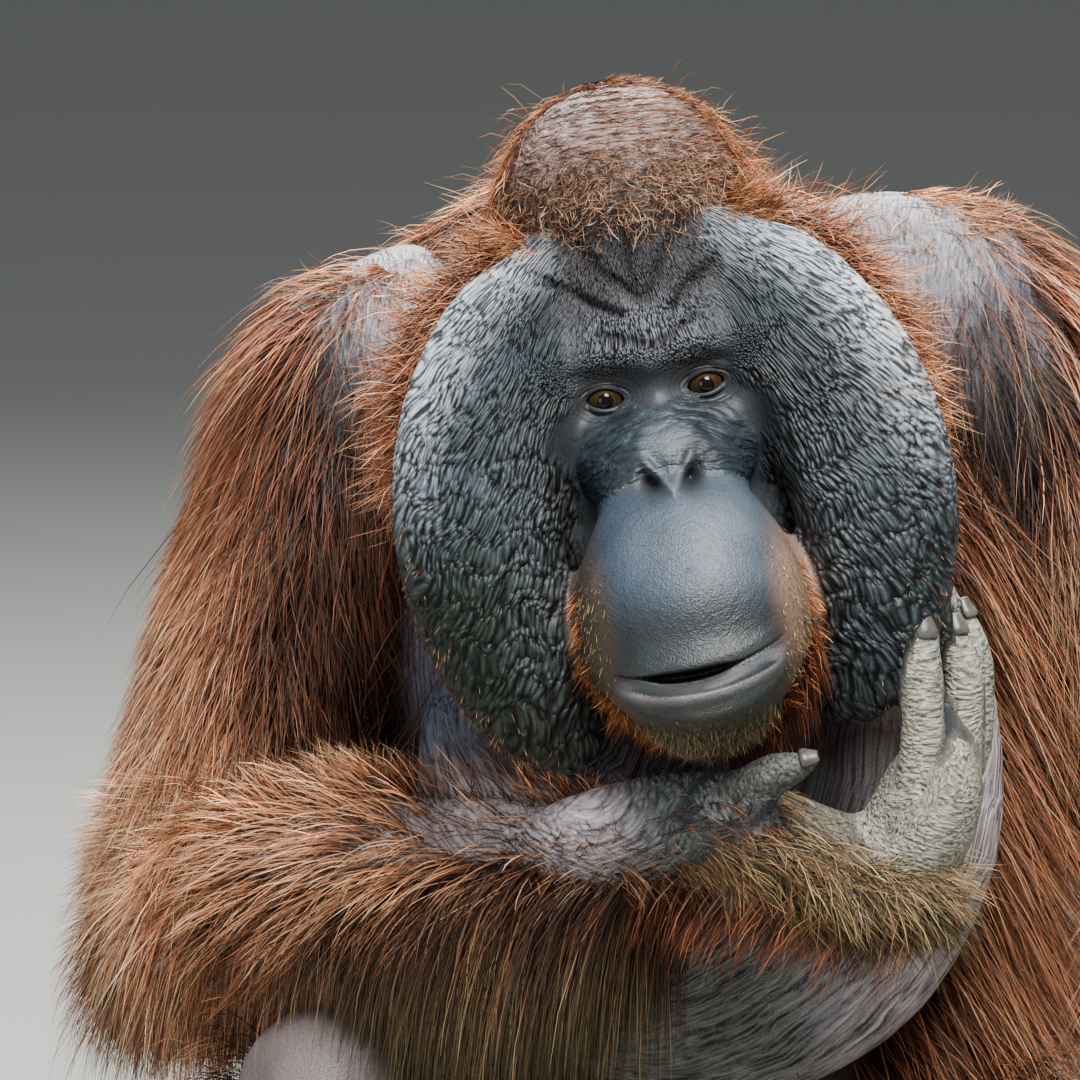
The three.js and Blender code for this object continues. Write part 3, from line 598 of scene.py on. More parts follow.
# Lids. Each eye's lids are a low dome over the ball, slit by an almond opening whose wet edge
# touches it. Their outer ring runs just under the skin of the socket.
EYE_APART = 30.5
EYE_BACK = 9.0
EYE_RADIUS = 12.0
OPENING_HALF = 11.0
bpy.context.view_layer.update()
back = Vector(FACE_TURN @ Vector((0, 1, 0)))
lids = []
for side in (-1, 1):
    bpy.ops.mesh.primitive_grid_add(x_subdivisions=72, y_subdivisions=22, size=2)
    lid = bpy.context.object
    lid.name = "lids_right" if side < 0 else "lids_left"
    co = own_points(lid)
    turn = (co[:, 0] + 1) * math.pi
    out = (co[:, 1] + 1) / 2
    # the opening's edge: the upper lid is the more arched, and both run down to the inner corner
    up = np.sin(turn) > 0
    high = np.where(up, 6.0, 5.4)
    edge_x = OPENING_HALF * np.cos(turn)
    edge_z = high * np.sin(turn) * (1 - 0.25 * np.cos(turn) ** 2) - 0.9 * np.cos(turn) * -side
    rim_x, rim_z = 27 * np.cos(turn), np.where(up, 15, 17) * np.sin(turn)
    ease = out**1.2
    x = edge_x + (rim_x - edge_x) * ease
    z = edge_z + (rim_z - edge_z) * ease
    dome = EYE_RADIUS + 0.15 + 2.0 * np.clip(out * 6, 0, 1) ** 0.5
    bulge = np.sqrt(np.maximum(dome**2 - x**2 - z**2, 0))
    dome_y = EYE_BACK - bulge
    starts = from_face(np.stack([side * EYE_APART + x, np.full(len(x), -70.0), z], axis=1)) * MM
    hits = [body.ray_cast(Vector(start), back) for start in starts]
    skin_y = np.array([to_face(np.array([list(hit[1])]) / MM)[0, 1] if hit[0] else 10 for hit in hits])
    fade = soft(out, 0.15, 0.75)
    # a crease runs over the upper lid and two folds under the lower
    sway = np.abs(np.sin(turn)) ** 0.6
    fold = 1.1 * np.exp(-(((out - 0.36) / 0.05) ** 2)) * sway
    fold -= 0.7 * np.exp(-(((out - 0.25) / 0.05) ** 2)) * sway
    fold += np.where(up, 0.4, 0.8) * np.exp(-(((out - 0.55) / 0.045) ** 2)) * sway
    fold += np.where(up, 0.0, 0.6) * np.exp(-(((out - 0.72) / 0.045) ** 2)) * sway
    y = np.minimum(dome_y, skin_y + 1.0) * (1 - fade) + (skin_y + 0.2) * fade + fold
    y = np.where(out < 0.01, EYE_BACK - np.sqrt(np.maximum(EYE_RADIUS**2 - x**2 - z**2, 0)) + 0.9, y)
    y = np.where(out > 0.97, skin_y + 1.4, y)
    placed = from_face(np.stack([side * EYE_APART + x, y, z], axis=1))
    write_places(lid, placed)
    bpy.ops.object.mode_set(mode="EDIT")
    bpy.ops.mesh.select_all(action="SELECT")
    bpy.ops.mesh.remove_doubles(threshold=0.00005)
    bpy.ops.mesh.normals_make_consistent(inside=False)
    bpy.ops.object.mode_set(mode="OBJECT")
    bpy.ops.object.shade_smooth()
    lids.append(lid)
# the skin behind the lids is drawn back out of sight
local = to_face(read_places(body))
behind = (np.abs(local[:, 0]) - EYE_APART) / 17
local[:, 1] += 16 * np.exp(-((behind**2 + (local[:, 2] / 10.5) ** 2) ** 3)) * (local[:, 1] < 40)
write_places(body, from_face(local))
body = join_pieces([body, *lids], "skin")

# Colour of the skin. Slate grey on the cheek pads with a painted silver highlight on their upper rims, smooth
# blue grey on the muzzle, violet grey on throat and shoulders, pale and creased on the fingers.
places = read_places(body)
local = to_face(places)
out_by = {name: limb.where(places) for name, limb in {**LIMBS, **DIGITS}.items()}


def nearest_of(*names):
    return np.min([out_by[n][0] for n in names], axis=0)


TONES = {
    "hidden": (0.030, 0.015, 0.011),
    "throat": (0.105, 0.115, 0.145),
    "throat left": (0.330, 0.290, 0.295),
    "throat low": (0.150, 0.152, 0.130),
    "shoulder": (0.135, 0.125, 0.145),
    "shoulder top highlight": (0.24, 0.23, 0.255),
    "knee": (0.17, 0.135, 0.130),
    "head": (0.05, 0.034, 0.034),
    "face": (0.030, 0.033, 0.036),
    "pad": (0.034, 0.043, 0.050),
    "pad rim highlight": (0.33, 0.375, 0.425),
    "pad bloom": (0.50, 0.50, 0.52),
    "pad shade right": (0.010, 0.017, 0.009),
    "pad shade left": (0.016, 0.020, 0.020),
    "pad foot shade": (0.020, 0.022, 0.012),
    "pad inside shade": (0.020, 0.018, 0.017),
    "brow": (0.115, 0.120, 0.135),
    "forehead": (0.058, 0.053, 0.057),
    "furrow shade": (0.012, 0.011, 0.012),
    "midface": (0.012, 0.019, 0.025),
    "socket": (0.016, 0.016, 0.018),
    "bridge": (0.040, 0.054, 0.066),
    "snout": (0.034, 0.052, 0.076),
    "snout low shade": (0.013, 0.018, 0.021),
    "muzzle_highlight": (0.20, 0.235, 0.270),
    "tan left": (0.230, 0.140, 0.090),
    "tan right": (0.080, 0.050, 0.030),
    "chin": (0.034, 0.034, 0.013),
    "lower lip": (0.42, 0.375, 0.39),
    "upper lip": (0.045, 0.052, 0.046),
    "mouth": (0.010, 0.006, 0.006),
    "nostril hollow shade": (0.018, 0.022, 0.026),
    "nose tip": (0.12, 0.14, 0.16),
    "nostril": (0.002, 0.002, 0.003),
    "crown": (0.23, 0.165, 0.150),
    "wrist": (0.46, 0.375, 0.375),
    "hump": (0.40, 0.345, 0.36),
    "hump end": (0.15, 0.165, 0.165),
    "fingers": (0.27, 0.26, 0.21),
    "palm": (0.12, 0.118, 0.098),
    "left hand and feet": (0.07, 0.062, 0.06),
    "thumb": (0.080, 0.085, 0.076),
}
tone = np.tile(TONES["hidden"], (len(places), 1))
# how pebbled, how pored and how lined the skin is
relief = np.zeros((len(places), 3))


def lay(share, name):
    """Lays a tone over the skin by a share."""
    global tone
    tone = tone + (np.asarray(TONES[name]) - tone) * share[:, None]


def ring_grain(name, share, stretch):
    """Turns the grain so that it runs round a limb."""
    global grain
    limb = DIGITS.get(name) or LIMBS[name]
    _, t, turn = out_by[name]
    girth = limb.radii[np.rint(t * (SAMPLES - 1)).astype(int)].mean(axis=1)
    run = ((places - limb.line[0]) * limb.along[SAMPLES // 2]).sum(axis=1)
    turned = np.stack([run * 1.5, np.cos(turn) * girth * stretch, np.sin(turn) * girth * stretch], axis=1)
    grain = grain + (turned * MM - grain) * share[:, None]


# the throat pouch and the shoulders, where the lines of the skin sag round the neck
x_face, y_face, z_face = local.T
off_wrist = 1 - soft(nearest_of("thumb_base_right", "forearm_right"), 1.12, 1.02)
head_share = soft(y_face, 150, 110) * soft(z_face, -262, -240) * soft(np.abs(x_face), 200, 185)
head_share *= off_wrist
over_pouch = soft(z_face, -262, -235) * (y_face < 60) * head_share
pouch_share = soft(nearest_of("pouch"), 1.16, 1.04) * (1 - over_pouch)
lay(pouch_share, "throat")
lay(pouch_share * soft(places[:, 0], 40, 140), "throat left")
lay(pouch_share * soft(places[:, 2], 470, 390) * soft(places[:, 0], 130, 60) * 0.8, "throat low")
relief[:, 2] = pouch_share * 0.85
SAG_X, SAG_Z = -60, 560
swing = np.minimum(places[:, 2] - SAG_Z, 0)
sag = np.hypot(places[:, 0] - SAG_X, swing)
turned = np.arctan2(places[:, 0] - SAG_X, -swing + 1e-3) * sag * 0.1
turned += np.maximum(places[:, 2] - SAG_Z, 0) * 0.1
grain = np.stack([sag * 1.5, turned * 0.6, places[:, 1] * 0.4], axis=1) * MM
off_neck = (1 - head_share) * (1 - pouch_share)
shoulder = soft(places[:, 2], 640, 760) * soft(places[:, 1], 90, 40) * off_neck
breast = soft(nearest_of("chest", "neck"), 1.12, 1.0)
breast *= soft(places[:, 2], 480, 560) * soft(places[:, 1], 0, -60)
shoulder = np.maximum(shoulder, breast * off_neck)
lay(shoulder, "shoulder")
# painted highlight: the tops of the shoulders are painted paler, where the light from above falls
shoulder_highlight = soft(places[:, 2], 700, 800) * soft(places[:, 1], 90, 40) * (1 - head_share)
lay(shoulder_highlight * 0.85, "shoulder top highlight")
relief[:, 2] = np.maximum(relief[:, 2], shoulder * 0.6)
KNEECAPS = ((-217, -212, 330), (268, -165, 268))
knee_gap = np.minimum(*(np.linalg.norm((places - knee) / (80, 80, 84), axis=1) for knee in KNEECAPS))
knees = soft(knee_gap, 1.1, 0.8)
lay(knees, "knee")
relief[:, 1] = np.maximum(relief[:, 1], knees)

# the cheek pads: dark and pebbled, with a painted silver highlight on the upper rim and painted shade on
# their lower parts and inner sides
flange_out = nearest_of("flange_right", "flange_left")
muzzle_out = nearest_of("muzzle", "lip_upper", "lip_lower")
face_share = soft(y_face, 70, 40) * soft(z_face, -262, -240) * soft(z_face, 140, 110)
face_share *= soft(np.abs(x_face), 190, 180) * off_wrist
lay(head_share, "head")
lay(face_share, "face")
pad = soft(flange_out, 1.35, 1.05) * face_share * soft(muzzle_out, 0.97, 1.12)
pad *= np.maximum(soft(np.abs(x_face), 40, 62), soft(z_face, 40, 70))
lay(pad, "pad")
# painted highlight: the upper outer rims of the pads are painted silver
rim = soft(np.hypot(x_face / 168, (z_face + 60) / 170), 0.74, 1.02) * soft(z_face, -120, 40)
lay(np.clip(rim, 0, 1) * pad * 0.95, "pad rim highlight")
# painted highlight: the upper outer side of the left pad is painted paler still
lay(np.clip(soft(x_face, 90, 160) * soft(z_face, -90, 60), 0, 1) * pad * 0.5, "pad bloom")
lay(soft(-x_face, 60, 130) * soft(z_face, -30, -110) * pad * 0.85, "pad shade right")
lay(soft(x_face, 60, 130) * soft(z_face, -60, -140) * pad * 0.6, "pad shade left")
# painted shade at the foot of the right pad
lay(bump_at(local * (1, 0, 1), (-95, 0, -205), (60, 1, 40)) * pad * 0.8, "pad foot shade")
# painted shade on the pads' inner sides, in the hollow by the muzzle and the eyes
lay(soft(np.abs(x_face), 104, 62) * soft(z_face, 30, -10) * pad * 0.75, "pad inside shade")
relief[:, 0] = pad
# pebbles run in rays from the crown, and are drawn out above the eyes
CROWN_Z = 140
angle = np.arctan2(x_face, CROWN_Z - z_face)
radius = np.hypot(x_face, CROWN_Z - z_face)
drawn_out = 0.46 + 0.7 * soft(np.abs(x_face), 90, 45) * soft(z_face, 0, 35)
rays = np.stack([angle * 330, radius * drawn_out, y_face * 0.4], axis=1) * MM
both_sides = np.stack([np.abs(x_face), y_face, z_face], axis=1)


def spots_at(x, z, wide, high):
    """A soft share round a spot on each side of the face, whatever its depth."""
    return bump_at(both_sides * (1, 0, 1), (x, 0, z), (wide, 1, high))


snout = soft(muzzle_out, 1.16, 1.0) * face_share
bridge = soft(nearest_of("bridge"), 1.5, 0.95) * face_share * soft(z_face, 0, -36)
midface = np.maximum(soft(nearest_of("midface"), 1.25, 0.95), bump_at(both_sides, (30, 0, -22), (36, 90, 22)))
midface *= face_share * soft(z_face, 8, -10)
# creases run in arcs round the middle of the muzzle
ARCS_Z = -108
arc = np.hypot(x_face, z_face - ARCS_Z)
arcs = np.stack([arc * 1.2, np.arctan2(np.abs(x_face), z_face - ARCS_Z) * 20, y_face * 0.3], axis=1) * MM
on_arcs = np.maximum(np.maximum(midface, snout), bridge)
in_face = face_share > 0.5
grain = np.where(in_face[:, None], np.where((on_arcs > 0.5)[:, None], arcs, rays), grain)
relief[:, 2] *= soft(np.abs(face_share - 0.5), 0.05, 0.35)
relief[:, 0] *= soft(on_arcs, 0.46, 0.1)
relief[:, 2] = np.where(in_face, soft(on_arcs, 0.58, 0.95) * 0.6, relief[:, 2])

brow = soft(z_face, 8, 22) * soft(z_face, 66, 46) * soft(np.abs(x_face), 56, 24) * face_share
lay(brow * 0.8, "brow")
forehead = soft(z_face, 44, 70) * soft(z_face, 118, 100) * soft(np.abs(x_face), 66, 34) * face_share
lay(forehead * 0.85, "forehead")
# painted shade in the depth of the first three forehead furrows and the brow's first
for start, end, *_ in (*FOREHEAD_FURROWS, BROW_FURROW):
    lay(np.exp(-((furrow_gap(local, start, end) / 3.4) ** 2)) * face_share * 0.75, "furrow shade")
relief[:, 0] = np.maximum(relief[:, 0], np.maximum(forehead * 0.8, brow) * soft(on_arcs, 0.46, 0.1))
lay(midface * (1 - snout) * 0.9, "midface")
# painted shade in the eye sockets and in a band under the brow's overhang
eye_zone = spots_at(31, 2, 21, 13)
shade_under_brow = spots_at(28, 12, 24, 6)
lay(np.clip(eye_zone * 0.75 + shade_under_brow * 0.3, 0, 0.85) * face_share, "socket")
# the muzzle: smooth and pored, tan at its sides, with pale lips
lay(bridge, "bridge")
lay(snout, "snout")
# painted shade: the muzzle is darker towards its bottom
lay(snout * soft(z_face, -104, -142), "snout low shade")
relief[:, 1] = np.maximum(relief[:, 1], np.maximum(snout, bridge))
relief[:, 2] *= 1 - 0.84 * np.maximum(soft(snout, 0.3, 0.9), bridge)
# painted highlights on the upper muzzle and just above the nose
muzzle_highlight = bump_at(local, (22, -95, -86), (22, 60, 24)) + bump_at(local, (-26, -95, -88), (14, 60, 16)) * 0.4
muzzle_highlight += bump_at(local, (0, -60, -46), (15, 60, 6)) * 0.7
lay(np.clip(muzzle_highlight, 0, 1) * np.maximum(snout, bridge) * 0.4, "muzzle_highlight")
tan = soft(x_face, 40, 62) * soft(z_face, -70, -115)
lay(tan * snout * 0.9, "tan left")
tan = soft(-x_face, 40, 60) * soft(z_face, -60, -110)
tan += soft(np.abs(x_face), 30, 58) * soft(z_face, -168, -192)
lay(np.clip(tan, 0, 1) * snout * 0.85, "tan right")
below_lip = bump_at(local * (1, 0, 1), (-8, 0, -207), (46, 1, 16)) * snout
lay(np.clip(below_lip * 1.3, 0, 1) * 0.9, "chin")
slit_gap = z_face - lip_line(x_face)
across_lip = soft(np.abs(x_face + 2), 54, 40) * snout
lower_lip = np.exp(-(((slit_gap + 9) / 4.6) ** 2)) * across_lip
lay(lower_lip * 0.95, "lower lip")
lay(np.exp(-(((slit_gap - 3.6) / 2.4) ** 2)) * across_lip * 0.7, "upper lip")
relief[:, 1] *= 1 - 0.5 * lower_lip
# painted shade fills the slit between the lips
slit_half = 0.7 + 2.7 * np.exp(-(((x_face + 9) / 24) ** 4))
shade_in_slit = np.exp(-((slit_gap / slit_half) ** 4)) * soft(np.abs(x_face + 2), 54, 44) * snout
lay(shade_in_slit, "mouth")
# painted shade in the hollows round the nostrils
lay(spots_at(13, -53, 14, 13) * face_share * 0.9, "nostril hollow shade")
nose_edge = np.exp(-(((z_face + 60 - 1.3 * np.abs(x_face)) / 3.6) ** 2))
lay(nose_edge * soft(np.abs(x_face), 19, 10) * face_share, "nose tip")
# painted shade: the nostrils themselves are painted near black
lay(spots_at(10.5, -55, 6, 5.6) * face_share, "nostril")

# the crown, the hands and the right wrist
crown = soft(z_face, 112, 140) * soft(y_face, 130, 90)
lay(crown, "crown")
relief[:, 2] = np.maximum(relief[:, 2] * soft(crown, 0.5, 0.2), soft(crown, 0.5, 0.8) * 0.7)
grain = np.where((crown > 0.5)[:, None], local * (0.12, 0.5, 1.0) * MM, grain)

for name in ("palm_right", "knuckles_right", "palm_left", "foot_right", "foot_left", *DIGITS):
    q = out_by[name][0]
    hand = soft(q, 1.5, 1.15)
    hand *= 1 - head_share * soft(q, 1.0, 1.1)
    kind = "fingers" if name in DIGITS or name == "knuckles_right" else "palm"
    if name.endswith("left") or name.startswith(("toe", "foot")):
        kind = "left hand and feet"
    if name == "thumb_right":
        kind = "thumb"
    lay(hand, kind)
    relief *= (1 - hand)[:, None]
    relief[:, 2] += hand * 0.5
    relief[:, 0] += hand * 0.12
    ring_grain(name, hand, 0.6)
wrist = soft(out_by["forearm_right"][0], 1.25, 1.0) * soft(out_by["forearm_right"][1], 0.28, 0.42)
wrist *= 1 - soft(out_by["palm_right"][0], 1.5, 1.2)
lay(wrist * (1 - head_share), "wrist")
# painted light: the hump at the thumb's root is grey skin painted pale, standing in for light that the head
# keeps off it
hump = soft(out_by["thumb_base_right"][0], 1.3, 1.05) * (1 - head_share)
lay(hump, "hump")
lay(hump * soft(places[:, 0], -40, 0), "hump end")
relief[:, 0] = np.maximum(relief[:, 0], hump * 0.5)
relief[:, 2] = np.maximum(relief[:, 2], wrist * 0.7)

# the grain is bent a little so that no two creases run alike
wander = np.sin(places[:, (1, 2, 0)] / 3.3 + 1.5 * np.sin(places[:, (2, 0, 1)] / 6.1)) * 1.0
wander += np.sin(places[:, (2, 0, 1)] / 8.3 + 1.5 * np.sin(places[:, (0, 1, 2)] / 11.0)) * 2.2
grain = grain + wander * MM
for name, values in (("tone", tone), ("relief", relief)):
    layer = body.data.attributes.new(name, "FLOAT_COLOR", "POINT")
    layer.data.foreach_set("color", np.column_stack([np.clip(values, 0, 1), np.ones(len(values))]).ravel())
layer = body.data.attributes.new("grain", "FLOAT_VECTOR", "POINT")
layer.data.foreach_set("vector", grain.ravel())

hide = start_finish("skin")


def node(kind, **settings):
    made = nodes.new(kind)
    for key, value in settings.items():
        setattr(made, key, value)
    return made


def maths(kind, a, b=None, clamp=False):
    made = node("ShaderNodeMath", operation=kind, use_clamp=clamp)
    for i, value in enumerate((a, b)):
        if isinstance(value, (int, float)):
            made.inputs[i].default_value = value
        elif value is not None:
            links.new(value, made.inputs[i])
    return made.outputs[0]


tone_in = node("ShaderNodeAttribute", attribute_name="tone").outputs["Color"]
relief_in = node("ShaderNodeAttribute", attribute_name="relief").outputs["Color"]
grain_in = node("ShaderNodeAttribute", attribute_name="grain").outputs["Vector"]
plain_in = node("ShaderNodeTexCoord").outputs["Object"]
split = node("ShaderNodeSeparateColor")
links.new(relief_in, split.inputs[0])
pebbled, pored, lined = split.outputs


def texture(kind, vector, scale, socket, **values):
    made = node(kind)
    for key in [k for k in values if k[0].islower()]:
        setattr(made, key, values.pop(key))
    links.new(vector, made.inputs["Vector"])
    made.inputs["Scale"].default_value = scale
    for key, value in values.items():
        made.inputs[key].default_value = value
    return made.outputs[socket]


cells = texture("ShaderNodeTexVoronoi", grain_in, 265, "Distance", feature="F1")
creases = texture("ShaderNodeTexNoise", grain_in, 280, "Fac", Detail=1.0, Roughness=0.6)
fine = texture("ShaderNodeTexNoise", plain_in, 900, "Fac", Detail=0.0)
blotch = texture("ShaderNodeTexNoise", plain_in, 30, "Fac", Detail=1.0)

cell_top = maths("SUBTRACT", 1.0, maths("MULTIPLY", cells, 1.25))
pad_height = maths("MULTIPLY", maths("ADD", cell_top, maths("MULTIPLY", creases, 0.7)), pebbled)
pore_height = maths("MULTIPLY", maths("MULTIPLY", fine, 0.15), pored)
line_height = maths("ADD", maths("MULTIPLY", creases, 1.5), maths("MULTIPLY", cell_top, 0.4))
line_height = maths("MULTIPLY", line_height, lined)
height = maths("ADD", maths("ADD", pad_height, pore_height), line_height)
bump = node("ShaderNodeBump")
bump.inputs["Distance"].default_value = 0.0028
bump.inputs["Strength"].default_value = 1.0
links.new(height, bump.inputs["Height"])
links.new(bump.outputs["Normal"], shader.inputs["Normal"])

# painted light: the tops of the cells get a pale painted highlight and the creases painted shade, and
# blotches and specks vary the tone
rough_parts = maths("ADD", lined, pebbled, clamp=True)
highlight_on_tops = maths("ADD", maths("MULTIPLY", pebbled, 2.5), maths("MULTIPLY", lined, 0.9))
crease_shading = maths("MULTIPLY", maths("SUBTRACT", creases, 0.5), rough_parts)
bright = maths("MULTIPLY", maths("SUBTRACT", cell_top, 0.42), highlight_on_tops)
bright = maths("ADD", bright, maths("MULTIPLY", crease_shading, 3.0))
for pattern in (blotch, fine):
    bright = maths("ADD", bright, maths("MULTIPLY", maths("SUBTRACT", pattern, 0.5), 0.9))
bright = maths("MAXIMUM", maths("ADD", bright, 1.0), 0.12)
scaled = node("ShaderNodeVectorMath", operation="SCALE")
links.new(tone_in, scaled.inputs[0])
links.new(bright, scaled.inputs["Scale"])
links.new(scaled.outputs[0], shader.inputs["Base Color"])
gloss = maths("ADD", 0.46, maths("MULTIPLY", pored, 0.06))
links.new(gloss, shader.inputs["Roughness"])
links.new(maths("ADD", maths("MULTIPLY", pored, 0.3), 0.22), shader.inputs["Specular IOR Level"])
body.data.materials.clear()
body.data.materials.append(hide)
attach(body, "root")
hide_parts(*[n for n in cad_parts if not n.startswith("eye")])

# Eyes. Glossy balls with an amber brown iris, a black pupil and a sclera so dark that no white
# shows, under a clear wet surface.
GAZE = np.array((0.012, -1.0, 0.1))
for side, word in ((-1, "right"), (1, "left")):
    centre = from_face(np.array([[side * EYE_APART, EYE_BACK, 0.0]]))[0] * MM
    bpy.ops.mesh.primitive_uv_sphere_add(segments=64, ring_count=48, radius=EYE_RADIUS * MM, location=centre)
    ball = bpy.context.object
    ball.name = "eyeball_" + word
    bpy.ops.object.transform_apply(location=True, rotation=True, scale=True)
    co = read_places(ball) - centre / MM
    look = GAZE / np.linalg.norm(GAZE)
    facing = co @ look / EYE_RADIUS
    # the cornea stands out a little over the iris
    co += look * (1.1 * soft(facing, 0.84, 0.98))[:, None]
    write_places(ball, co + centre / MM)
    bpy.ops.object.shade_smooth()
    ball.data.materials.append(start_finish("eye_" + word, 0.07))
    shift = node("ShaderNodeMapping")
    links.new(node("ShaderNodeTexCoord").outputs["Object"], shift.inputs["Vector"])
    shift.inputs["Location"].default_value = -centre
    dot = node("ShaderNodeVectorMath", operation="DOT_PRODUCT")
    links.new(shift.outputs[0], dot.inputs[0])
    dot.inputs[1].default_value = look / (EYE_RADIUS * MM)
    speck = texture("ShaderNodeTexNoise", shift.outputs[0], 700, "Fac", Detail=3.0)
    wobble = maths("MULTIPLY", maths("SUBTRACT", speck, 0.5), 0.05)
    ramp = node("ShaderNodeValToRGB")
    links.new(maths("ADD", dot.outputs["Value"], wobble), ramp.inputs[0])
    stops = ramp.color_ramp.elements
    # from the dark sclera over the iris to the pupil
    stops[0].position, stops[0].color = 0.0, (0.008, 0.005, 0.004, 1)
    stops[1].position, stops[1].color = 0.62, (0.030, 0.013, 0.005, 1)
    for at, colour in [
        (0.74, (0.030, 0.016, 0.006, 1)),
        (0.80, (0.024, 0.013, 0.005, 1)),
        (0.83, (0.020, 0.010, 0.004, 1)),
        (0.86, (0.034, 0.021, 0.006, 1)),
        (0.94, (0.030, 0.018, 0.006, 1)),
        (0.972, (0.022, 0.012, 0.004, 1)),
        (0.982, (0.003, 0.002, 0.002, 1)),
    ]:
        stops.new(at).color = colour
    links.new(ramp.outputs[0], shader.inputs["Base Color"])
    shader.inputs["IOR"].default_value = 1.4
    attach(ball, "root")
    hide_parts("eye_" + word)

# Nails. A thick horny plate sits on the back of each digit's end and grows a little past it.
NAIL_TURN = {"index_right": 25, "middle_right": 40, "ring_right": 50, "little_right": 55, "thumb_right": 132}
nails = []
for name, digit in DIGITS.items():
    bpy.ops.mesh.primitive_grid_add(x_subdivisions=10, y_subdivisions=10, size=2)
    nail = bpy.context.object
    co = own_points(nail)
    u, v = co[:, 0], (co[:, 1] + 1) / 2
    narrow = 1 - 0.25 * np.maximum(v - 0.6, 0) - 0.4 * np.maximum(0.3 - v, 0)
    turn = math.radians(NAIL_TURN.get(name, 90)) + u * narrow * math.radians(50)
    t = 0.80 + 0.155 * v
    rise = 0.5 - 0.7 * np.abs(u) ** 3 - 1.2 * np.maximum(0.25 - v, 0) / 0.25
    placed = digit.skin(t, turn, rise)
    placed += digit.ring(np.full(len(t), 0.9))[1] * (np.maximum(v - 0.6, 0) * 3)[:, None]
    write_places(nail, placed)
    thick = nail.modifiers.new("thick", "SOLIDIFY")
    thick.thickness = 1.3 * MM
    thick.offset = 0
    bpy.ops.object.modifier_apply(modifier=thick.name)
    bpy.ops.object.shade_smooth()
    nails.append(nail)
nail = join_pieces(nails, "nails")
nail.data.materials.append(start_finish("horn", 0.35))
cloud = texture("ShaderNodeTexNoise", node("ShaderNodeTexCoord").outputs["Object"], 90, "Fac", Detail=4.0)
ramp = node("ShaderNodeValToRGB")
links.new(cloud, ramp.inputs[0])
stops = ramp.color_ramp.elements
stops[0].position, stops[0].color = 0.35, (0.05, 0.045, 0.04, 1)
stops[1].position, stops[1].color = 0.65, (0.115, 0.11, 0.095, 1)
links.new(ramp.outputs[0], shader.inputs["Base Color"])
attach(nail, "root")

# Coat. Long coarse hair, dark at the root and bright orange at the tip. Each tuft is a thin bent
# blade; tufts gather in clumps, lie along the limb, slide over it and hang under their own weight.
hair = start_finish("hair", 0.5)
links.new(node("ShaderNodeAttribute", attribute_name="tint").outputs["Color"], shader.inputs["Base Color"])
shader.inputs["Specular IOR Level"].default_value = 0.24
DOWN = np.array((0.0, 0.0, -1.0))
DARK = np.array((0.014, 0.007, 0.004))
MAROON = np.array((0.075, 0.026, 0.013))
RUST = np.array((0.27, 0.085, 0.036))
ORANGE = np.array((0.56, 0.235, 0.110))
GOLD = np.array((0.50, 0.32, 0.15))
OLIVE = np.array((0.125, 0.095, 0.040))
TAN = np.array((0.48, 0.30, 0.17))
FLAME = np.array((0.42, 0.135, 0.035))
random = np.random.default_rng(7)
# the farthest that hair reaches, a little past the solids
REACH_LOW = np.array((-391.0, -568.0, 1.0))
REACH_HIGH = np.array((473.0, 258.0, 968.0))


def unit(v):
    return v / np.maximum(np.linalg.norm(v, axis=1), 1e-9)[:, None]


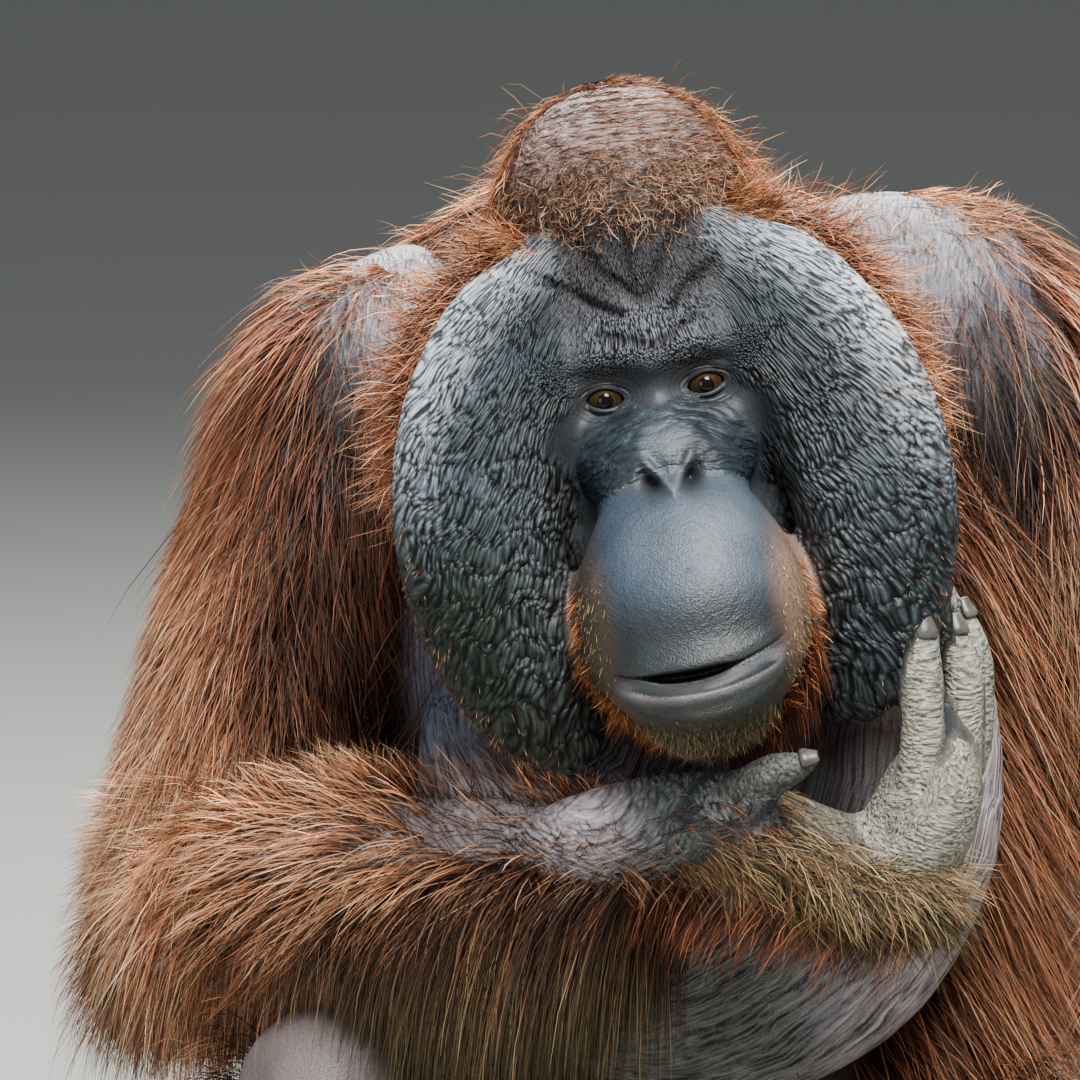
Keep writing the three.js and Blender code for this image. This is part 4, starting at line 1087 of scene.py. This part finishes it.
def coat(name, tufts):
    """Makes one coat piece from tufts: roots, headings, outward normals, lengths, widths, softness
    (pull of gravity), tones at root, middle and tip, and places on the skin's unwrap."""
    root, heading, outward, length, width, weight, pull, curl, tones, spot, margins, over, rows = tufts
    count = len(root)
    rows = np.array(rows)
    last = len(rows) - 1
    path = [root]
    step = heading
    sideways = unit(np.cross(heading, outward))
    phase = random.uniform(0, 2 * math.pi, count)
    for k in range(1, last + 1):
        wave = sideways * (curl * np.sin(phase + 4.4 * rows[k]))[:, None]
        step = unit(step + DOWN * (weight * (0.35 + 0.65 * rows[k]))[:, None] + pull * 0.25 + wave)
        place = path[-1] + step * (length * (rows[k] - rows[k - 1]))[:, None]
        for limb in over:
            place = limb.push_out(place, margins * (0.4 + 2.0 * rows[k]))
        place[:, 2] = np.maximum(place[:, 2], 1.5)
        step = unit(place - path[-1])
        path.append(place)
    path = np.stack(path, axis=1)
    # hair that would pass the reach is shorter
    room = np.where(path > root[:, None], REACH_HIGH - root[:, None], root[:, None] - REACH_LOW)
    fit = (np.maximum(room, 1.0) / np.maximum(np.abs(path - root[:, None]), 1.0)).min(axis=(1, 2))
    fit = np.where(fit < 1, fit * random.uniform(0.72, 1.0, count), 1.0)
    path = root[:, None] + (path - root[:, None]) * fit[:, None, None]
    twist = random.normal(0, 0.55, count)
    along = unit(path[:, -1] - path[:, 0])
    flat = unit(np.cross(along, outward))
    lean = unit(flat * np.cos(twist)[:, None] + np.cross(along, flat) * np.sin(twist)[:, None])
    shares = np.array((0.75, 1.0, 0.85, 0.55))[:last]
    side = lean[:, None] * (width[:, None] * shares / 2)[:, :, None]
    corners_each = last * 2 + 1
    verts = np.empty((count, corners_each, 3))
    verts[:, 0:-1:2] = path[:, :-1] - side
    verts[:, 1:-1:2] = path[:, :-1] + side
    verts[:, -1] = path[:, -1]
    verts[:, :, 2] = np.maximum(verts[:, :, 2], 0.6)
    quads = [[2 * k, 2 * k + 1, 2 * k + 3, 2 * k + 2] for k in range(last - 1)]
    pattern = np.array([*np.ravel(quads), 2 * last - 2, 2 * last - 1, 2 * last])
    base = np.arange(count)[:, None] * corners_each
    corners = (base + pattern).ravel()
    starts = (np.arange(count)[:, None] * len(pattern) + np.arange(last) * 4).ravel()
    mesh = bpy.data.meshes.new(name)
    mesh.vertices.add(count * corners_each)
    mesh.vertices.foreach_set("co", (verts * MM).ravel())
    mesh.loops.add(len(corners))
    mesh.loops.foreach_set("vertex_index", corners.astype(np.int32))
    mesh.polygons.add(count * last)
    mesh.polygons.foreach_set("loop_start", starts.astype(np.int32))
    mesh.polygons.foreach_set("use_smooth", np.ones(count * last, bool))
    mesh.update(calc_edges=True)
    share = np.append(np.repeat(rows[:-1], 2), 1.0)
    low, mid, high = (np.asarray(t)[:, None] for t in tones)
    early = np.clip(share * 2, 0, 1)[None, :, None]
    late = np.clip(share * 2 - 1, 0, 1)[None, :, None]
    colour = low + (mid - low) * early + (high - mid) * late
    colour = np.concatenate([colour, np.ones((count, corners_each, 1))], axis=2)
    tint = mesh.attributes.new("tint", "FLOAT_COLOR", "POINT")
    tint.data.foreach_set("color", colour.ravel())
    patch = np.stack([np.arange(corners_each) % 2 - 0.5, share - 0.5], axis=1) * 0.003
    uv = (spot[:, None] + patch[pattern]).reshape(-1, 2)
    mesh.uv_layers.new(name="OFBake").data.foreach_set("uv", uv.ravel())
    mesh.materials.append(hair)
    piece = bpy.data.objects.new(name, mesh)
    bpy.context.scene.collection.objects.link(piece)
    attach(piece, "root")
    return piece


def clumped(count, per_clump, low, high, reach):
    """Root positions (two shares) scattered round clump centres, and each one's clump."""
    clumps = max(1, count // per_clump)
    centres = random.uniform(low, high, (clumps, 2))
    member = random.integers(0, clumps, count)
    spread = random.normal(0, 1, (count, 2)) * reach
    return centres[member] + spread, centres[member], member, clumps


def limb_tufts(limb, count, lengths, widths=(0.5, 1.0), t_range=(0.02, 0.98), turns=(-180, 180), lie=0.0,
               stand=0.25, weight=0.5, tones=(DARK, MAROON, RUST), keep=None, per_clump=14, inset=10.0,
               bend=0.25, vary=0.35, away=(), gather=0.35, curl=0.14):
    """Tufts on a limb. lie is the heading's turn from the limb's own direction, as a number or a function
    of share and turn; keep gives the share of tufts that stay at each root."""
    reach = (7.0 / limb.length, 7.0 / max(limb.radii.mean(), 20))
    spot, middle, member, clumps = clumped(
        count, per_clump, (t_range[0], math.radians(turns[0])), (t_range[1], math.radians(turns[1])), reach
    )
    t, turn = np.clip(spot[:, 0], 0.004, 0.996), spot[:, 1]
    root = limb.skin(t, turn, -1.0, inset)
    stays = np.ones(count, bool)
    if keep is not None:
        stays &= random.uniform(size=count) < keep(t, turn, root)
    for other in away:
        stays &= other.where(root)[0] > 0.93
    t, turn, root, middle, member = t[stays], turn[stays], root[stays], middle[stays], member[stays]
    count = len(t)
    _, along, wide, deep = limb.ring(t)
    if limb.on_face:
        along, wide, deep = (v @ FACE_AXES.T for v in (along, wide, deep))
    outward = unit(wide * np.cos(turn)[:, None] + deep * np.sin(turn)[:, None])
    around = np.cross(along, outward)
    clump_noise = random.normal(0, 1, (clumps, 4))
    own = random.normal(0, 1, (count, 3))
    angle = lie(t, turn) if callable(lie) else np.full(count, float(lie))
    angle = np.radians(angle) + clump_noise[member, 0] * bend + own[:, 0] * 0.12
    lift = stand * (1 + 0.4 * clump_noise[member, 1]) + own[:, 1] * 0.08
    heading = unit(along * np.cos(angle)[:, None] + around * np.sin(angle)[:, None] + outward * lift[:, None])
    length = lengths(t, turn, root) if callable(lengths) else random.uniform(*lengths, count)
    length = length * (1 + vary * np.clip(clump_noise[member, 2], -1.6, 1.6) * 0.5)
    length *= random.uniform(0.6, 1.12, count)
    width = random.uniform(*widths, count)
    centre = limb.skin(np.clip(middle[:, 0], 0.004, 0.996), middle[:, 1], -1.0, inset)
    pull = (centre - root) / length[:, None] * gather * 4
    low, mid, high = (tone(t, turn, root) if callable(tone) else np.tile(tone, (count, 1)) for tone in tones)
    shade = np.exp(clump_noise[member, 3] * 0.38 + own[:, 2] * 0.62 - 0.08)[:, None]
    tones = (low * shade, mid * shade, np.clip(high * shade, 0, 0.8))
    unwrap = np.stack([turn / (2 * math.pi) % 1.0, t], axis=1) * 0.96 + 0.02
    full = np.ones(count)
    length = np.maximum(length, 4)
    return [root, heading, outward, length, width, full * weight, pull, full * curl, tones, unwrap]


def grow(name, groups, margin, over, rows=(0, 0.22, 0.48, 0.75, 1)):
    """Makes one piece of several patches, each on its own tile of the unwrap."""
    joined = [np.concatenate([g[i] for g in groups]) for i in range(8)]
    tones = [np.concatenate([g[8][k] for g in groups]) for k in range(3)]
    side = math.ceil(math.sqrt(len(groups)))
    spots = [(g[9] + (i % side, i // side)) / side for i, g in enumerate(groups)]
    return coat(name, [*joined, tones, np.concatenate(spots), margin, over, rows])


SHORT_ROWS = (0, 0.34, 0.68, 1)


def mix(a, b, share):
    return a + (b - a) * share[:, None]


# Right upper arm's coat. Long rust hair that hangs from the shoulder to the elbow, painted brightest on the
# outside and over the shoulder where the light falls and darker inside in painted shade. A longer loose layer
# lies over it, with thin down on the nearly bare front of the shoulder.
arm = LIMBS["upper_arm_right"]
TRUNK = (LIMBS["chest"], LIMBS["belly"])


def bare_shoulder(t, turn, root):
    """The shoulders' fronts are nearly bare, and their backs and outer edges carry long hair."""
    right = np.exp(-(((root[:, 0] + 150) / 68) ** 4 + ((root[:, 2] - 785) / 72) ** 4))
    left = np.exp(-(((root[:, 0] - 140) / 96) ** 4 + ((root[:, 2] - 790) / 135) ** 4))
    return 1 - 0.985 * np.maximum(right, left) * soft(root[:, 1], 75, 40)


def lit_share(out, height):
    """Share of painted light: hair is painted brightest on the outside of the arms and over the shoulders,
    where the light falls.
    """
    return np.clip(soft(out, 215, 300) + soft(height, 745, 800), 0, 1)


def shoulder_down(limb, down, down_from, wisps, wisps_from):
    """Short thin down on the front of a shoulder, and curled wisps along its top."""
    return [
        limb_tufts(limb, down, (12, 26), widths=(0.3, 0.5), t_range=(down_from, 0.97), turns=(-10, 190),
                   lie=175, stand=0.1, weight=0.2, inset=0, tones=(DARK, MAROON, MAROON), bend=0.3,
                   per_clump=3, gather=0.1),
        limb_tufts(limb, wisps, (16, 34), widths=(0.4, 0.7), t_range=(wisps_from, 0.995), turns=(-20, 200),
                   lie=150, stand=0.6, weight=0.1, inset=0, tones=(MAROON, ORANGE, TAN), bend=0.6,
                   per_clump=4),
    ]


def by_share(low, high, share):
    """A tone that goes from low to high by a share worked out at each root."""
    return lambda t, turn, root: mix(low, high, share(t, turn, root))


# painted light on the right arm's outside and over the shoulder, painted shade inside
def right_lit_share(t, turn, root):
    return lit_share(-root[:, 0], root[:, 2])


grow(
    "coat_upper_arm_right",
    [
        limb_tufts(arm, 24000, (60, 105), t_range=(0.03, 0.97), lie=0, stand=0.22, weight=0.25,
                   keep=bare_shoulder,
                   tones=(DARK, by_share(MAROON * 0.5, RUST * 1.5, right_lit_share),
                          by_share(MAROON * 1.3, (ORANGE + TAN) / 1.7, right_lit_share)),
                   away=TRUNK),
        # the loose layer's tips are painted paler towards the outer edge, where the light falls
        limb_tufts(arm, 8000, (80, 130), widths=(0.5, 0.9), t_range=(0.1, 0.95), turns=(120, 300), lie=0,
                   stand=0.38, weight=0.3,
                   tones=(DARK, by_share(MAROON, RUST, right_lit_share),
                          by_share(RUST, TAN * 1.5, lambda t, u, r: soft(-r[:, 0], 230, 320))),
                   keep=bare_shoulder, away=TRUNK),
        *shoulder_down(LIMBS["shoulder_right"], 700, 0.2, 700, 0.84),
    ],
    3.0,
    [arm, LIMBS["forearm_right"]],
)

# Right forearm's coat. The hair runs back from the wrist to the elbow, rosy rust painted paler in front where
# the light falls and darker below in painted shade, and is thin on top of the wrist, where the grey skin
# shows.
arm = LIMBS["forearm_right"]


def forearm_length(t, turn, root):
    """Longest under the elbow and the arm, short towards the wrist and on top."""
    under = np.clip(-np.sin(turn), 0, 1)
    return (48 + 52 * under + 20 * np.clip(0.5 - t, 0, 0.5)) * (1 - 0.42 * soft(t, 0.6, 1.0))


def thin_wrist(t, turn, root):
    """The top of the wrist and the hump at the thumb's root are nearly bare."""
    patch = np.exp(-(((root[:, 0] + 84) / 92) ** 4) - ((root[:, 2] - 500) / 24) ** 4)
    patch *= soft(-root[:, 1], 110, 170)
    hump = np.exp(-(((root[:, 0] - 4) / 26) ** 4)) * soft(root[:, 2], 505, 520)
    return 1 - np.maximum(0.9 * patch, 0.95 * hump)


def arm_tip(t, turn, root):
    """Tips are painted pale and rosy on the arm's front where the light falls, darker and rusty below in
    painted shade, and golden by the wrist.
    """
    tip = mix((ORANGE + TAN) / 2 * 1.35, RUST * 1.3, np.clip(-np.sin(turn) * 1.4, 0, 1))
    return mix(tip, GOLD, soft(t, 0.6, 1.0) * 0.4)


# painted shade: how far round towards the forearm's lower side a root lies
def shaded_underside(t, turn, root):
    return np.clip(-np.sin(turn) * 1.6, 0, 1)


grow(
    "coat_forearm_right",
    [
        limb_tufts(arm, 23000, forearm_length, t_range=(0.0, 0.99), lie=180, stand=0.2, weight=0.2,
                   keep=thin_wrist, tones=(DARK, by_share(ORANGE, MAROON * 0.8, shaded_underside), arm_tip),
                   bend=0.3),
        limb_tufts(arm, 5000, (75, 115), widths=(0.5, 0.9), t_range=(0.02, 0.5), turns=(195, 345), lie=180,
                   stand=0.6, weight=0.7, tones=(DARK, MAROON * 0.7, ORANGE * 0.6), bend=0.35),
    ],
    3.0,
    [arm, LIMBS["upper_arm_right"]],
)


# Hair that hangs under the right forearm. A curtain of dark hair with rust and olive ends, longest
# in the middle, and a few long pale strands that stand out of it.


def hang_length(t, turn, root):
    """Hair under the arm hangs longest in the middle and stops short above the knee."""
    return 70 + 75 * soft(root[:, 0], -185, -110) + random.uniform(-15, 15, len(t))


grow(
    "coat_forearm_hang",
    [
        limb_tufts(arm, 15500, hang_length, widths=(0.45, 0.85), t_range=(0.12, 1.0), turns=(188, 350),
                   lie=180, stand=0.7, weight=1.3,
                   tones=(DARK * 0.7, MAROON * 0.5,
                          by_share(RUST, OLIVE * 0.7, lambda t, u, r: soft(t, 0.3, 0.7))),
                   bend=0.45),
        limb_tufts(arm, 2200, (60, 130), widths=(0.4, 0.7), t_range=(0.12, 0.9), turns=(200, 300), lie=180,
                   stand=1.0, weight=1.1, tones=(DARK, MAROON, TAN * 0.8), bend=0.7, vary=0.6),
    ],
    3.0,
    [arm],
)

# Right hand's coat. Short olive and golden fur on the back of the hand, thin towards the knuckles,
# with rust strands under the edge of the palm.


def thin_palm(t, turn, root):
    """The back of the hand is furred below and bare above, towards the knuckles."""
    by_knuckles = soft(root[:, 2], 492, 512) * soft(root[:, 0], 60, 110)
    return 1 - 0.92 * by_knuckles - 0.6 * soft(root[:, 2], 512, 526)


def olive_to_gold(t, turn, root):
    """Tips are golden above, olive at the middle and rusty at the hand's lower edge."""
    tip = mix(OLIVE, (ORANGE + GOLD) / 2.7, soft(root[:, 2], 462, 505))
    return mix(tip, RUST, soft(root[:, 2], 466, 446) * 0.7)


palm = LIMBS["palm_right"]
grow(
    "coat_hand_right",
    [
        limb_tufts(palm, 10000, (22, 46), widths=(0.4, 0.7), t_range=(0.0, 0.93), turns=(100, 345), lie=14,
                   stand=0.3, weight=0.25, inset=0, tones=(OLIVE * 0.25, OLIVE * 0.6, olive_to_gold),
                   keep=thin_palm, bend=0.4),
        limb_tufts(LIMBS["thumb_base_right"], 2600, (16, 34), widths=(0.35, 0.6), t_range=(0.0, 0.8),
                   turns=(150, 330), lie=8, stand=0.25, weight=0.3, inset=0, tones=(DARK, MAROON, ORANGE),
                   bend=0.4, keep=lambda t, u, r: 0.2 + 0.8 * soft(r[:, 2], 512, 488)),
        limb_tufts(palm, 2500, (34, 60), widths=(0.5, 0.8), t_range=(0.0, 0.85), turns=(215, 330), lie=160,
                   stand=0.5, weight=0.6, inset=0, tones=(DARK, MAROON, RUST), bend=0.3),
    ],
    0.6,
    [palm],
    SHORT_ROWS,
)

# Left upper arm's coat. Like the right arm's, but darker inside, because the arm hangs beside the
# body with its inner side in shadow.
arm = LIMBS["upper_arm_left"]


# painted light on the left arm's outside and over the shoulder, painted shade inside
def left_lit_share(t, turn, root):
    return lit_share(root[:, 0] * 1.5 - 112, root[:, 2] - 10)


# painted light on the left arm's outer edge
def left_edge_light(t, turn, root):
    return soft(root[:, 0], 222, 268)


grow(
    "coat_upper_arm_left",
    [
        limb_tufts(arm, 18500, (65, 115), t_range=(0.03, 0.97), lie=0, stand=0.26, weight=0.3,
                   keep=bare_shoulder,
                   tones=(DARK, by_share(DARK, RUST * 1.3, left_lit_share),
                          by_share(MAROON * 0.6, TAN * 1.4, left_lit_share)),
                   away=TRUNK),
        limb_tufts(arm, 7500, (110, 175), widths=(0.55, 0.95), t_range=(0.08, 0.95), turns=(60, 320), lie=0,
                   stand=0.5, weight=0.4, keep=bare_shoulder, away=TRUNK,
                   tones=(DARK, by_share(DARK, RUST * 1.3, left_edge_light),
                          by_share(MAROON, TAN * 1.5, left_edge_light))),
        *shoulder_down(LIMBS["shoulder_left"], 900, 0.3, 1100, 0.86),
    ],
    3.0,
    [arm, LIMBS["forearm_left"]],
)

# Left forearm's coat, with the back of the left hand. Long hair that hangs from the arm towards the
# floor, and short hair as far as the knuckles.
arm = LIMBS["forearm_left"]
grow(
    "coat_forearm_left",
    [
        limb_tufts(arm, 12500, (60, 110), t_range=(0.0, 0.97), lie=160, stand=0.35, weight=1.3,
                   tones=(DARK, MAROON, ORANGE), bend=0.3),
        limb_tufts(LIMBS["palm_left"], 2500, (14, 32), widths=(0.6, 1.0), t_range=(0.05, 0.8),
                   turns=(10, 170), lie=0, stand=0.25, weight=0.3, inset=0, tones=(DARK, MAROON, RUST)),
    ],
    3.0,
    [arm, LIMBS["upper_arm_left"]],
)

# Head's coat. Curly hair behind the crown's nearly bare dome, fine short hair in rows across it, a
# frizz on the forehead, ruffs behind the cheek pads, and stubble and a beard round the muzzle.
crown_ball = Limb([(0, 78, 24, 79, 76), (0, 78, 108, 79, 76), (0, 78, 192, 79, 76)], blunt=1.0, on_face=True)
skull_ball = Limb([(0, 96, -56, 98, 96), (0, 96, 44, 98, 96), (0, 96, 144, 98, 96)], blunt=1.0, on_face=True)


def behind_dome(t, turn, root):
    """Hair covers the sides and back of the crown and leaves its front nearly bare."""
    local = to_face(root)
    return soft(local[:, 1] + np.abs(local[:, 0]) * 0.55, 74, 96) * soft(local[:, 2], 60, 90)


def fuzz_band(t, turn, root):
    """The frizz grows in a curved band over the forehead."""
    local = to_face(root)
    band = np.exp(-(((local[:, 2] - 124 + 0.0022 * local[:, 0] ** 2) / 26) ** 4))
    return band * (local[:, 1] < 60)


def in_stripes(t, turn, root):
    """Short hair on the dome grows in wavy rows from side to side."""
    local = to_face(root)
    level = (local[:, 2] + 0.0016 * local[:, 0] ** 2 + 1.4 * np.sin(local[:, 0] / 17)) / 4.4
    return (np.abs(level % 1 - 0.5) < 0.17) * 0.9


head_groups = [
    limb_tufts(crown_ball, 8000, (20, 42), widths=(0.35, 0.65), t_range=(0.3, 0.99), lie=180, stand=0.75,
               weight=0.12, inset=0, keep=behind_dome, tones=(DARK, RUST, ORANGE), bend=0.8, per_clump=7,
               curl=0.5),
    limb_tufts(crown_ball, 12000, (9, 17), widths=(0.3, 0.5), t_range=(0.5, 0.99), turns=(2, 178), inset=0,
               lie=91, stand=0.07, weight=0.05, bend=0.1, gather=0.1, keep=in_stripes,
               tones=(DARK, MAROON, (RUST + ORANGE) / 2), per_clump=3),
    limb_tufts(crown_ball, 7500, (9, 18), widths=(0.3, 0.5), t_range=(0.28, 0.85), turns=(-10, 190),
               lie=170, stand=0.45, weight=0.1, inset=0, keep=fuzz_band, tones=(DARK, MAROON, TAN * 0.8),
               bend=0.9, per_clump=5, curl=0.4),
    limb_tufts(skull_ball, 5700, (40, 85), t_range=(0.15, 0.95), turns=(185, 355), lie=180, stand=0.35,
               weight=0.3, inset=0, tones=(DARK, MAROON, RUST), bend=0.35),
]
for side, word in ((-1, "right"), (1, "left")):
    outside = 180 if side < 0 else 0
    head_groups.append(
        limb_tufts(LIMBS["ruff_" + word], 4800, (22, 48), widths=(0.35, 0.65), t_range=(0.02, 0.98),
                   turns=(outside - 75, outside + 75), stand=1.3, weight=0.1, inset=8,
                   tones=(DARK, RUST, ORANGE), bend=0.6, per_clump=6, curl=0.5)
    )
    head_groups.append(
        limb_tufts(LIMBS["flange_" + word], 800, (4, 8), widths=(0.2, 0.35), t_range=(0.12, 0.95),
                   turns=(outside - 50, outside + 50), lie=0, stand=0.8, weight=0.1, inset=0,
                   tones=(MAROON, RUST, TAN), bend=0.5, per_clump=2, gather=0)
    )
snout_limb = LIMBS["muzzle"]
for low, high in ((-28, 6), (174, 208)):
    head_groups.append(
        limb_tufts(snout_limb, 1700, (9, 17), widths=(0.3, 0.5), t_range=(0.36, 0.95), turns=(low, high),
                   lie=0, stand=0.9, weight=0.1, inset=0, tones=(MAROON, FLAME, FLAME), bend=0.4,
                   per_clump=5, gather=0.2)
    )
head_groups += [
    limb_tufts(snout_limb, 5200, (3, 6.5), widths=(0.22, 0.4), t_range=(0.36, 0.985), turns=(0, 180), lie=0,
               stand=0.5, weight=0.1, inset=0, tones=(OLIVE * 0.5, OLIVE, TAN), bend=0.4, per_clump=4,
               gather=0.1,
               keep=lambda t, u, r: soft(np.abs(to_face(r)[:, 0] + 2), 44, 70) * (to_face(r)[:, 2] < -70)),
    limb_tufts(snout_limb, 4600, (4, 9), widths=(0.25, 0.42), t_range=(0.88, 0.995), turns=(5, 175), lie=0,
               stand=0.6, weight=0.1, inset=0, tones=(OLIVE * 0.3, OLIVE * 0.8, TAN * 0.6), bend=0.4,
               per_clump=4, gather=0.2),
    limb_tufts(snout_limb, 2200, (22, 42), widths=(0.4, 0.7), t_range=(0.55, 0.97), turns=(-60, 2), lie=0,
               stand=0.3, weight=0.5, inset=0, tones=(DARK, MAROON, RUST), bend=0.3),
]
grow("coat_head", head_groups, 0.6, [crown_ball, skull_ball], SHORT_ROWS)

# Back's coat. The longest and coarsest hair, which hangs from the shoulders down the back to the
# seat, with loose curls over the shoulders.
chest, belly = TRUNK
arms = (LIMBS["upper_arm_right"], LIMBS["upper_arm_left"])
grow(
    "coat_back",
    [
        limb_tufts(chest, 8300, (90, 150), widths=(0.9, 1.5), t_range=(0.1, 0.97), turns=(178, 362),
                   lie=180, stand=0.22, weight=0.3, inset=12, away=arms,
                   tones=(DARK, MAROON, lambda t, u, r: mix(RUST, ORANGE, soft(r[:, 2], 560, 860)))),
        limb_tufts(chest, 3000, (40, 85), widths=(0.45, 0.8), t_range=(0.84, 0.99), turns=(170, 370),
                   lie=180, stand=1.2, weight=0.15, inset=8, tones=(RUST, ORANGE, TAN), bend=0.6, curl=0.4),
        limb_tufts(belly, 9000, (90, 140), widths=(0.9, 1.5), t_range=(0.08, 0.9), turns=(178, 362),
                   lie=180, stand=0.22, weight=0.3, inset=12, tones=(DARK, MAROON, RUST)),
        *[
            limb_tufts(LIMBS["shoulder_" + word], count, (40, 75), widths=(0.7, 1.2), t_range=(0.3, 0.99),
                       lie=180, turns=(first, 350), stand=0.25, weight=0.3, inset=0,
                       tones=(DARK, MAROON, ORANGE))
            for word, count, first in (("left", 1700, 200), ("right", 1200, 190))
        ],
    ],
    4.0,
    [chest, belly],
)


# Front's coat. Hair on the sides of the chest and on the belly, with only a few strands on the
# upper chest and none on the throat pouch.


def chest_cover(t, turn, root):
    """The front of the chest is nearly bare, and its sides and the belly are not."""
    return 1 - 0.94 * soft(root[:, 2], 480, 600) * soft(-root[:, 1], -20, 60) * soft(root[:, 0], 215, 180)


grow(
    "coat_front",
    [
        limb_tufts(chest, 8000, (60, 120), t_range=(0.05, 0.95), turns=(-2, 182), lie=180, stand=0.3,
                   weight=0.3, inset=12, tones=(DARK, MAROON, RUST), keep=chest_cover,
                   away=(*arms, LIMBS["pouch"])),
        limb_tufts(belly, 11000, (70, 135), t_range=(0.06, 0.98), turns=(-2, 182), lie=180, stand=0.32,
                   weight=0.3, inset=12, tones=(DARK, RUST, ORANGE), away=(LIMBS["pouch"],)),
    ],
    4.0,
    [chest, belly],
)

# Flank's coat. Long loose hair that stands out from the left side of the trunk and fills the space
# between the throat pouch and the left arm.
grow(
    "coat_flank",
    [
        limb_tufts(limb, count, (120, 200), t_range=t_range, turns=(140, 215), lie=180, stand=stand,
                   weight=0.42, inset=12, tones=(DARK, MAROON, (RUST + ORANGE) / 2), away=(LIMBS["pouch"],),
                   bend=0.4)
        for limb, count, t_range, stand in ((chest, 9500, (0.02, 0.75), 3.2), (belly, 6500, (0.4, 0.98), 3.0))
    ],
    4.0,
    [chest, belly],
)

# Legs' coat. Hair runs down the thighs and shanks, leaves the kneecaps bare and is short on the
# tops of the feet.
leg_groups = []
for side, word in ((-1, "right"), (1, "left")):
    thigh, shank, foot = (LIMBS[f"{part}_{word}"] for part in ("thigh", "shank", "foot"))
    knee = np.array(KNEES[side], float) + (0, -14, 4)

    def off_knee(t, turn, root, knee=knee):
        return soft(np.linalg.norm((root - knee) / (72, 72, 78), axis=1), 0.86, 1.12)

    leg_groups += [
        limb_tufts(thigh, 6500, (50, 95), t_range=(0.1, 0.93), lie=0, stand=0.26, weight=0.45, inset=8,
                   keep=off_knee, tones=(DARK, MAROON, (RUST + ORANGE) / 2), away=(belly,)),
        limb_tufts(shank, 4800, (45, 85), t_range=(0.1, 0.97), lie=0, stand=0.26, weight=0.3, inset=8,
                   keep=off_knee, tones=(DARK, MAROON, RUST), away=(thigh,)),
        limb_tufts(foot, 1300, (10, 24), widths=(0.45, 0.8), t_range=(0.2, 0.82), turns=(20, 160), lie=0,
                   stand=0.25, weight=0.2, inset=0, tones=(DARK, MAROON, RUST)),
    ]
bones = [LIMBS[f"{part}_{word}"] for word in ("right", "left") for part in ("thigh", "shank")]
grow("coat_legs", leg_groups, 2.5, bones)

# Size. The box of the plain solids and the box of the finished model are kept side by side.
size = {"cad": cad_box, "render": [list(map(float, corner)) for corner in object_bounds()]}
